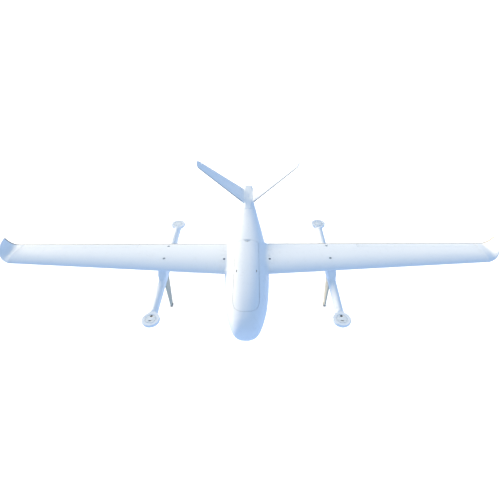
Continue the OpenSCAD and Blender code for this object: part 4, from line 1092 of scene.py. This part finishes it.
def fin_to_world(p):
    """(r, s, n) of the left fin to (x, s, h)"""
    p = np.asarray(p, float)
    c, q = math.cos(FIN_A), math.sin(FIN_A)
    return np.stack([FIN_X + p[:, 0] * c - p[:, 2] * q, p[:, 1], FIN_H + p[:, 0] * q + p[:, 2] * c], 1)


def hinge_to_fin(p):
    p = np.asarray(p, float)
    c, q = math.cos(SWEEP), math.sin(SWEEP)
    return np.stack([p[:, 0] * c - p[:, 1] * q, FH0 + p[:, 0] * q + p[:, 1] * c, p[:, 2]], 1)


def moved(ob, *fns):
    """working mesh put through point maps that keep its handedness"""
    n = len(ob.data.vertices)
    co = np.zeros(n * 3, np.float32)
    ob.data.vertices.foreach_get("co", co)
    co = co.reshape(-1, 3).astype(float)
    for f in fns:
        co = f(co)
    ob.data.vertices.foreach_set("co", co.astype(np.float32).ravel())
    ob.data.update()
    return ob


def fin_le(r):
    return LE0 + (LE1 - LE0) * r / FIN_LEN


def fin_te(r):
    return TE0 + (TE1 - TE0) * r / FIN_LEN


def fin_round(r):
    return np.where(r < FIN_LEN - 22, 1.0, np.sqrt(np.maximum(0.02, 1 - (np.maximum(0, r - FIN_LEN + 22) / 22.6) ** 2)))


def fin_ring(r, k=48, g=0.0):
    q = float(fin_round(r))
    m = fin_le(r) + 0.62 * (fin_te(r) - fin_le(r))
    a = m + (fin_le(r) - m) * q
    b = m + (fin_te(r) - m) * (0.45 + 0.55 * q)
    c = fin_te(r) - fin_le(r)
    u = (1 + np.cos(np.pi * np.arange(k + 1) / k)) / 2
    u[-1] = 0
    t = c * thick(u, FIN_T) * (0.3 + 0.7 * q) + g
    t[-1] = 0.08
    s = a + u * (b - a)
    up = np.stack([np.full(k + 1, float(r)), s, t], 1)
    return np.concatenate([up, (up * [1, 1, -1])[::-1]])


def fin_solid(rs, g=0.0):
    return loft([fin_ring(r, 48, g) for r in rs])


# the block that carries the fins: upright body, ramp, fin roots and their fillets as one moulding
BL = np.array([[836, 39, 12, 22, 34], [906, 50.6, 20.5, 30.5, 36], [920, 51, 21, 31, 36.3], [1062, 51, 21, 31, 36.3], [1091, 51, 20.5, 26, 36.3]], float)


def tail_field(x, s, h):
    ax = np.abs(x)
    zt, wt, wm = [np.interp(s, BL[:, 0], BL[:, k]) for k in (1, 2, 3)]
    zc = fz(np.clip(s, 0, 1061), 4)
    slope = (wm - wt) / np.maximum(1.0, zt - np.interp(s, BL[:, 0], BL[:, 4]))
    side = (ax - (wt + (zt - h) * slope)) / np.sqrt(1 + slope * slope)
    low = ax - np.interp(s, BL[:, 0], [22, 32, 32.5, 32.5, 27])
    body = smax(smax(side, low, 4.0), h - zt, 3.0)
    body = smax(body, 836 - s, 2.0)
    body = smax(body, s - 1091, 2.5)
    body = np.maximum(body, zc - 2 - h)
    # left and right fins together
    c, q = math.cos(FIN_A), math.sin(FIN_A)
    dx, dh = ax - FIN_X, h - FIN_H
    r, n = dx * c + dh * q, -dx * q + dh * c
    rr = np.clip(r, 0, 60)
    le, te = fin_le(rr), fin_te(rr)
    cc = te - le
    u = np.clip((s - le) / cc, 0, 1)
    th = cc * thick(u, FIN_T)
    fin = np.abs(n) - th
    g = np.maximum(0, le - s)
    fin = np.where(s < le, np.sqrt(np.abs(n) ** 2 + g * g), fin)
    fin = np.where(s > te, np.maximum(np.abs(n) - 0.4, s - te), fin)
    fin = np.maximum(fin, r - 20.0)
    fin = np.maximum(fin, -r - 4)
    d = smin(body, fin, 10.0)
    # blanket over the fuselage so that the foot has a soft edge
    fd = fus_d(x, np.clip(s, 0, 1061.9), h)
    d = smin(d, np.maximum(fd - 0.45, np.maximum(835 - s, s - 1060.8)), 7.0)
    d = np.maximum(d, zc - h)
    d = np.maximum(d, -(fd + 0.8))
    d = np.maximum(d, 832 - s)
    d = np.maximum(d, np.where(s > 1060.9, (TAIL_C + 0.3) - h, -1e3))
    ring = np.sqrt(x * x + (h - TAIL_C) ** 2) - (23.5 + 0.2)
    return np.where(s > 1060.9, np.maximum(d, -ring), d)


tb = surface_nets(tail_field, (-52, 829, 8), (52, 1094, 62), 1.5)
finish_piece(tb, "tail_block_moulding", "white_gelcoat", "airframe", ["tail_block"], 40)

# pusher motor mount: cup with a flat rear face
pr = [(20.4, 1062.1), (22.6, 1062.1), (23.5, 1063.0), (23.5, 1098.4), (23.0, 1099.6), (22.0, 1100.0), (20.2, 1100.0), (19.8, 1099.6),
      (16.9, 1099.6), (16.5, 1100.0), (6.6, 1100.0), (6.0, 1099.4), (6.0, 1094.0), (20.4, 1094.0)]
pm = lathe([(r, s) for r, s in pr], (0, 0, TAIL_C), "s", 128)
for a in (45, 135, 225, 315):
    x, h = 15 * math.cos(math.radians(a)), TAIL_C + 15 * math.sin(math.radians(a))
    boolean(pm, rod((x, 1090, h), (x, 1104, h), 1.7, 28))
finish_piece(pm, "pusher_mount_cup", "white_gelcoat", "airframe", ["pusher_motor_mount"], 40)


def rud_ring(x, k=16):
    r = x * math.cos(SWEEP)
    rr = RUD_R0 + (RUD_R1 - RUD_R0) * (x - RUD_A) / (RUD_B - RUD_A)
    e = fin_te(r) - FH0 - x * math.sin(SWEEP)
    c = fin_te(r) - fin_le(r)
    t1 = float(c * thick(np.array([1.0]), FIN_T)[0])
    s = np.linspace(e, 0, k)
    n = np.interp(s / e, [0, 0.3, 0.62, 1], [rr - 0.05, rr * 0.75 + 0.05, rr * 0.45 + 0.1, t1])
    n[1:-1] = (n[:-2] + 2 * n[1:-1] + n[2:]) / 4
    a = np.radians(np.linspace(90, 179.2, 12)[1:])
    arc = np.stack([(rr - 0.05) * np.cos(a), (rr - 0.05) * np.sin(a)], 1)
    up = np.concatenate([np.stack([s, n], 1), arc])
    p = np.concatenate([up, (up * [1, -1])[::-1]])
    return np.stack([np.full(len(p), float(x)), p[:, 0], p[:, 1]], 1)


for side, name in ((1, "left"), (-1, "right")):
    fin = fin_solid(np.concatenate([np.linspace(12, FIN_LEN - 22, 24), FIN_LEN - 22 + 22 * np.sin(np.linspace(0, math.pi / 2, 15))[1:]]))
    bay = rbox((RUD_A - 1.2, -2.8, -25), (RUD_B + 1.2, 120, 25), 0)
    con = rod((RUD_A - 1.2, 0, 0), (RUD_B + 1.2, 0, 0), RUD_R0 + 0.7, 48, RUD_R1 + 0.7)
    hole = rod((RUD_A - 9, 0, 0), (RUD_B + 9, 0, 0), 1.05, 20)
    slot = rbox((RUD_SERVO + 0.9, -8, -20), (RUD_SERVO + 3.9, 0, -1.5), 0)
    pocket = rbox((RUD_SERVO - 27.5, -RUD_ROD - 28, -20), (RUD_SERVO + 9, -RUD_ROD + 14, 5.3), 0)
    for t in (bay, con, hole, slot, pocket):
        boolean(fin, moved(t, hinge_to_fin))
    finish_piece(moved(fin, fin_to_world), f"{name}_fin_moulding", "white_fin", "airframe", [f"{name}_tail_fin"], 40, side=side)
    rud = loft([rud_ring(x) for x in np.linspace(RUD_A, RUD_B, 17)])
    boolean(rud, rod((RUD_A - 1, 0, 0), (RUD_B + 1, 0, 0), 1.08, 20))
    finish_piece(moved(rud, hinge_to_fin, fin_to_world), f"{name}_ruddervator_surface", "white_fin", f"{name}_ruddervator", [f"{name}_ruddervator"], 40, side=side)
    hp = horn_plate(RUD_SERVO + 1.4, RUD_SERVO + 3.4, 0, 0)
    finish_piece(moved(hp, hinge_to_fin, fin_to_world), f"{name}_ruddervator_horn_plate", "black_plastic", f"{name}_ruddervator", (), 40, side=side)
    lid = fin_solid(np.linspace(10, 120, 10))
    cut = rbox((RUD_SERVO - 27.2, -RUD_ROD - 27.7, -20), (RUD_SERVO + 8.7, -RUD_ROD + 13.7, -5.6), 0)
    boolean(lid, moved(cut, hinge_to_fin), "INTERSECT")
    boolean(lid, moved(rbox((RUD_SERVO + 0.3, -RUD_ROD - 9, -24), (RUD_SERVO + 7.2, -RUD_ROD + 9, -2), 0), hinge_to_fin))
    finish_piece(moved(lid, fin_to_world), f"{name}_fin_servo_lid", "white_gelcoat", "airframe", ["servo_covers"], 40, side=side)


# ------------------------------------------------------------------ servos and linkages
def servo_parts():
    """(name, material, mesh) about the output shaft along +x"""
    body = rbox((-26, -21.9, -4.9), (-0.4, 7.9, 4.9), 0.6, 2)
    for x in (-20.4, -5.6):
        boolean(body, rbox((x - 0.25, -23, -6), (x + 0.25, 9, -4.7), 0))
    lugs = join([rbox((-19.5, -26.4, -3.9), (-17.5, -21.7, 3.9), 0.5, 2), rbox((-19.5, 7.7, -3.9), (-17.5, 12.4, 3.9), 0.5, 2)])
    shaft = lathe([(0, -0.5), (2.9, -0.5), (2.9, 3.6), (2.6, 4.0), (0, 4.0)], (0, 0, 0), "x", 48)
    return [("case", "black_plastic", body), ("lugs", "black_plastic", lugs), ("shaft", "alloy", shaft)]


def arm_mesh():
    a0 = rod((1.2, 0, 0), (3.8, 0, 0), 4.6, 48, bevel=0.3)
    a1 = rod((1.2, 0, -14), (3.8, 0, -14), 2.4, 32, bevel=0.3)
    web = prism([(-4.1, 0), (-2.35, -14), (2.35, -14), (4.1, 0)], 1.2, 3.8, 0)
    boolean(a0, web, "UNION")
    boolean(a0, a1, "UNION")
    boolean(a0, rod((0, 0, 0), (5, 0, 0), 2.96, 32))
    for h in (-14, -10.6):
        boolean(a0, rod((0, 0, h), (5, 0, h), 1.0 if h == -14 else 0.7, 20))
    return a0


def rod_mesh(length, drop_):
    p0, p1 = np.array([5.4, 0, -14.0]), np.array([5.4, length, -14.0 + drop_])
    d = (p1 - p0) / np.linalg.norm(p1 - p0)
    a = rod(p0 - d, p1 + d, 1.0, 24, bevel=0.25)
    for p in (p0, p1):
        boolean(a, rod((0.6, p[1], p[2]), (5.4, p[1], p[2]), 0.93, 24, bevel=0.2), "UNION")
    cl = [rod(p0 + d * 5, p0 + d * 14, 1.7, 24, bevel=0.3), rod(p1 - d * 14, p1 - d * 5, 1.7, 24, bevel=0.3)]
    return a, cl


AIL_SERVO = np.array([860.0, HINGE_S - 49.0, 5.2])
for side, name in ((1, "left"), (-1, "right")):
    for which, fns, ln, dr in (("aileron", (lambda p: p + AIL_SERVO,), 49.0, HINGE_H - 5.2),
                               ("ruddervator", (lambda p: p + np.array([RUD_SERVO, -RUD_ROD, 0.0]), hinge_to_fin, fin_to_world), 46.0, 0.0)):
        for pn, mat, ob in servo_parts():
            finish_piece(moved(ob, *fns), f"{name}_{which}_servo_{pn}", mat, "airframe", ["control_servos"], 40, side=side)
        finish_piece(moved(arm_mesh(), *fns), f"{name}_{which}_arm", "alloy", f"{name}_{which}_servo_arm", [f"{name}_{which}_servo_arm"], 40, side=side)
        a, cl = rod_mesh(ln, dr)
        finish_piece(moved(a, *fns), f"{name}_{which}_rod", "steel", f"{name}_{which}_pushrod", [f"{name}_{which}_pushrod"], 40, side=side)
        for i, c in enumerate(cl):
            finish_piece(moved(c, *fns), f"{name}_{which}_rod_sleeve_{i + 1}", "alloy", f"{name}_{which}_pushrod", (), 40, side=side)


# ------------------------------------------------------------------ inside the fuselage
bat = rbox((-38, 128, -113.8), (38, 308, -50), 4.0, 3)
for s in (188, 218, 248):
    boolean(bat, rbox((-45, s, -110), (-37.6, s + 0.8, -54), 0))
    boolean(bat, rbox((37.6, s, -110), (45, s + 0.8, -54), 0))
finish_piece(bat, "battery_pack", "battery_wrap", "airframe", ["battery"], 40)
lab = rbox((-30, 195, -50.1), (30, 242, -49.8), 0.1, 1)
finish_piece(lab, "battery_label", "cell_label", "airframe", (), 40)
for i, s in enumerate((165.0, 250.0)):
    o = rbox((-40.2, s, -113.8), (40.2, s + 22, -47.8), 5.0, 3)
    boolean(o, rbox((-38.6, s - 1, -116), (38.6, s + 23, -49.7), 4.0, 3))
    finish_piece(o, f"battery_strap_{i + 1}", "webbing", "airframe", ["battery_straps"], 40)
    k = rbox((-13, s + 1.5, -49.0), (13, s + 20.5, -47.85), 0.5, 2)
    finish_piece(k, f"battery_strap_pad_{i + 1}", "webbing", "airframe", (), 40)

ap = rbox((-22, 420, -31.8), (22, 476, -13), 2.2, 3)
for j in range(5):
    boolean(ap, rbox((-18 + 7.5 * j, 474.5, -28), (-13 + 7.5 * j, 478, -23.5), 0))
boolean(ap, rbox((-12, 434, -13.4), (12, 462, -12), 0))
finish_piece(ap, "autopilot_case", "black_plastic", "airframe", ["autopilot"], 40)
gp = lathe([(0, -31.8), (17, -31.8), (17, -24), (16.2, -21.6), (13.5, -20.2), (7, -19.9), (0, -19.9)], (0, 500, 0), "h", 72)
finish_piece(gp, "gps_puck", "grey_plastic", "airframe", ["gps_module"], 40)
pw = rbox((-15, 352, -31.8), (15, 372, -14), 1.5, 2)
finish_piece(pw, "power_module_case", "grey_plastic", "airframe", ["power_module"], 40)
rx = rbox((28, 425, -31.8), (44, 465, -18), 1.4, 2)
finish_piece(rx, "radio_receiver_case", "black_plastic", "airframe", ["radio_receiver"], 40)


def cable(pts, r, name, mat, body="airframe", replaces=(), n=10, side=1):
    """round cable through soft waypoints, as a closed mesh"""
    P = np.array(pts, float)
    t = np.linspace(0, len(P) - 1, (len(P) - 1) * 12 + 1)
    out = []
    for q in t:
        i = min(int(q), len(P) - 2)
        f = q - i
        p0, p1, p2, p3 = P[max(0, i - 1)], P[i], P[i + 1], P[min(len(P) - 1, i + 2)]
        out.append(0.5 * ((2 * p1) + (-p0 + p2) * f + (2 * p0 - 5 * p1 + 4 * p2 - p3) * f * f + (-p0 + 3 * p1 - 3 * p2 + p3) * f ** 3))
    C = np.array(out)
    T = np.gradient(C, axis=0)
    T /= np.linalg.norm(T, axis=1, keepdims=True)
    ref = np.array([0.0, 0.0, 1.0]) if abs(T[0, 2]) < 0.8 else np.array([1.0, 0, 0])
    u = np.cross(T[0], ref)
    u /= np.linalg.norm(u)
    a = np.arange(n) * 2 * math.pi / n
    V = []
    for c, tt in zip(C, T):
        u = u - tt * np.dot(u, tt)
        u /= np.linalg.norm(u)
        w = np.cross(tt, u)
        V.append(c + r * (np.cos(a)[:, None] * u + np.sin(a)[:, None] * w))
    m = len(V)
    faces = [list(f) for f in grid_faces(m, n)] + [list(range(n))[::-1], [(m - 1) * n + k for k in range(n)]]
    ob = outward(raw_mesh(name, np.concatenate(V), faces))
    return finish_piece(ob, name, mat, body, replaces, 50, side=side)


cable([(-7, 318.5, -74), (-9, 328, -70), (-8, 340, -56), (-6, 352, -44), (-5, 362, -32)], 2.4, "battery_lead_neg", "cable_black", replaces=["wiring_loom"])
cable([(7, 318.5, -74), (9, 328, -70), (8, 340, -56), (6, 352, -44), (5, 362, -32)], 2.4, "battery_lead_pos", "cable_red", replaces=["wiring_loom"])
cable([(0, 330, -54), (0, 430, -54), (0, 520, -55), (0, 588, -54)], 3.2, "main_lead", "cable_black", replaces=["wiring_loom"])
cable([(0, 654, -54), (0, 760, -33.4), (0, 860, -14), (0, 960, 5), (0, 1044, 22)], 2.9, "tail_lead", "cable_black", replaces=["wiring_loom"])
cable([(-14, 476.5, -26), (-22, 486, -28), (-26, 500, -30), (-20, 508, -29)], 1.1, "gps_lead", "cable_black")
cable([(14, 476.5, -26), (24, 484, -27), (34, 478, -27), (36, 465, -25)], 1.1, "radio_lead", "cable_black")
cable([(0, 372, -24), (6, 390, -29), (4, 410, -28), (0, 420.5, -24)], 1.6, "power_lead", "cable_red")
for side, name in ((1, "left"), (-1, "right")):
    cable([(70, 440, 5), (200, 440, 5), (400, 440, 5), (620, 440, 5), (824, 440, 5)], 2.9, f"{name}_wing_lead", "cable_black", replaces=["wiring_loom"], side=side)
    cable([(BX, POD_S0 + 17.5, BOOM_H + 7), (BX, 300, BOOM_H + 7), (BX, 560, BOOM_H + 7), (BX, POD_S1 - 17.5, BOOM_H + 7)], 2.9, f"{name}_boom_lead", "cable_black", replaces=["wiring_loom"], side=side)
    for s, d, end in ((POD_S0, 1, "front"), (POD_S1, -1, "rear")):
        cable([(BX, s + d * 17.2, BOOM_H + 7), (BX + 4, s + d * 13, BOOM_H + 4), (BX + 8, s + d * 4, BOOM_H - 1), (BX + 4, s - d * 6, BOOM_H - 3), (BX - 5, s - d * 7, BOOM_H - 3)], 2.2, f"{name}_{end}_motor_lead", "cable_black", side=side)
    for i, s in enumerate((166, 646)):
        e = rbox((BX - 12, s, BOOM_H - 10.4), (BX + 12, s + 62, BOOM_H + 0.4), 1.2, 2)
        finish_piece(e, f"{name}_speed_controller_{i + 1}", "grey_plastic", "airframe", ["speed_controllers"], 40, side=side)
e = rbox((-12, 590, -60), (12, 652, -49), 1.2, 2)
finish_piece(e, "tail_speed_controller", "grey_plastic", "airframe", ["speed_controllers"], 40)


# ------------------------------------------------------------------ carried-over structure
CAD_LOOK = {
    "fuselage_formers": "plywood", "equipment_trays": "plywood", "left_wing_ribs": "plywood", "right_wing_ribs": "plywood",
    "hatch_frame": "white_inside", "hatch_magnets": "steel", "wing_spar_tube": "carbon", "wing_alignment_pins": "carbon",
    "left_wing_spar": "carbon", "right_wing_spar": "carbon", "tail_fin_rods": "carbon",
    "control_hinge_rods": "steel", "wing_lock_springs": "steel",
}
for node_name, look in CAD_LOOK.items():
    me = NODES[node_name].data
    me.materials.clear()
    me.materials.append(MATS[look])


# ------------------------------------------------------------------ floor, camera, light
def floor_piece():
    bm = bmesh.new()
    bmesh.ops.create_circle(bm, cap_ends=True, cap_tris=False, segments=96, radius=60.0)
    me = bpy.data.meshes.new("floor")
    bm.to_mesh(me)
    bm.free()
    ob = bpy.data.objects.new("floor", me)
    COL.objects.link(ob)
    ob.location = (0, 0, -0.0006)
    m, nt, b = nodes_of("pale_floor")
    c = coords(nt)
    col = mix(nt, ramp(nt, noise(nt, 1.4, 4, 0.5, c), [(0.3, 0.0), (0.7, 1.0)]), (0.86, 0.865, 0.87), (0.88, 0.883, 0.886))
    # the floor looks near white but throws back a cooler, weaker light, as ground under open sky does
    path = nt.nodes.new("ShaderNodeLightPath")
    col = mix(nt, path.outputs["Is Camera Ray"], (0.27, 0.38, 0.57), col)
    nt.links.new(col, b.inputs["Base Color"])
    b.inputs["Roughness"].default_value = 0.85
    b.inputs["Specular IOR Level"].default_value = 0.15
    bump(nt, b, noise(nt, 60, 4, 0.6, c), 0.03, 0.001)
    me.materials.append(m)


floor_piece()

TH, RO, PS = 0.6691, -0.0134, 0.0166
ct, st, cp, sp, cr, sr = math.cos(TH), math.sin(TH), math.cos(PS), math.sin(PS), math.cos(RO), math.sin(RO)
right = Vector((cp, sp, 0))
fwd = Vector((-sp * ct, cp * ct, -st))
up = Vector((-sp * st, cp * st, ct))
right_r = cr * right + sr * up
up_r = -sr * right + cr * up
cam_d = bpy.data.cameras.new("camera")
cam_d.sensor_width = 36.0
cam_d.lens = 36.0 * 361.0 / 500.0
cam_d.shift_x = 0.0
cam_d.clip_end = 200.0
cam = bpy.data.objects.new("camera", cam_d)
R = Matrix((right_r, up_r, -fwd)).transposed().to_4x4()
cam.matrix_world = Matrix.Translation(Vector((0.0376, -1.480, 1.4138))) @ R
COL.objects.link(cam)
bpy.context.scene.camera = cam


def sun(name, direction, energy, color, angle):
    ld = bpy.data.lights.new(name, "SUN")
    ld.energy = energy
    ld.color = color
    ld.angle = math.radians(angle)
    ob = bpy.data.objects.new(name, ld)
    ob.rotation_euler = Vector(direction).to_track_quat("Z", "Y").to_euler()
    COL.objects.link(ob)
    return ob


KEY_AZ, KEY_EL = math.radians(47.0), math.radians(11.0)   # azimuth from +Y towards -X
key = sun("key", (-math.sin(KEY_AZ) * math.cos(KEY_EL), math.cos(KEY_AZ) * math.cos(KEY_EL), math.sin(KEY_EL)), 6.9, (1.0, 0.82, 0.52), 34.0)
key.visible_glossy = False   # a soft box, not a lamp mirrored in the gelcoat
soft = sun("floor_fill", (-0.25, 0.2, 1.0), 5.0, (1.0, 0.90, 0.74), 90.0)
lit = bpy.data.collections.new("drone_pieces")
ground = bpy.data.collections.new("ground")
for q in bpy.context.scene.objects:
    if q.type == "MESH":
        (ground if q.name == "floor" else lit).objects.link(q)
key.light_linking.receiver_collection = lit
soft.light_linking.receiver_collection = ground
casters = bpy.data.collections.new("casters")
for q in lit.objects:
    if "ruddervator" in q.name or not any(k in q.name for k in ("fin", "tail")):
        casters.objects.link(q)
floor_casters = bpy.data.collections.new("floor_casters")
for q in bpy.context.scene.objects:
    if q.type == "MESH" and (q.name == "floor" or "foot" in q.name or "leg" in q.name):
        floor_casters.objects.link(q)
soft.light_linking.blocker_collection = floor_casters   # only the feet and legs mark the floor
key.light_linking.blocker_collection = casters   # the fixed fins throw no shadow over the wing

w = bpy.data.worlds.new("studio")
bpy.context.scene.world = w
w.use_nodes = True
nt = w.node_tree
nt.nodes.clear()
o = nt.nodes.new("ShaderNodeOutputWorld")
bg = nt.nodes.new("ShaderNodeBackground")
tc = nt.nodes.new("ShaderNodeTexCoord")
sep = nt.nodes.new("ShaderNodeSeparateXYZ")
nt.links.new(tc.outputs["Generated"], sep.inputs[0])
back = ramp(nt, math_node(nt, "ADD", math_node(nt, "MULTIPLY", sep.outputs[1], 0.5), 0.5), [(0.15, 0.0), (0.9, 1.0)])
col = mix(nt, back, (0.50, 0.72, 1.19), (0.54, 0.72, 1.04))
col = mix(nt, ramp(nt, sep.outputs[0], [(0.1, 0.0), (0.9, 0.8)]), col, (0.47, 0.77, 1.40))
top = ramp(nt, sep.outputs[2], [(0.0, 0.0), (0.9, 1.0)])
col = mix(nt, math_node(nt, "MULTIPLY", top, 0.8), col, (0.48, 0.64, 0.78))
nt.links.new(col, bg.inputs[0])
bg.inputs[1].default_value = 0.86
nt.links.new(bg.outputs[0], o.inputs[0])

vs = bpy.context.scene.view_settings
vs.view_transform = "Standard"
vs.look = "None"
vs.exposure = 0.0
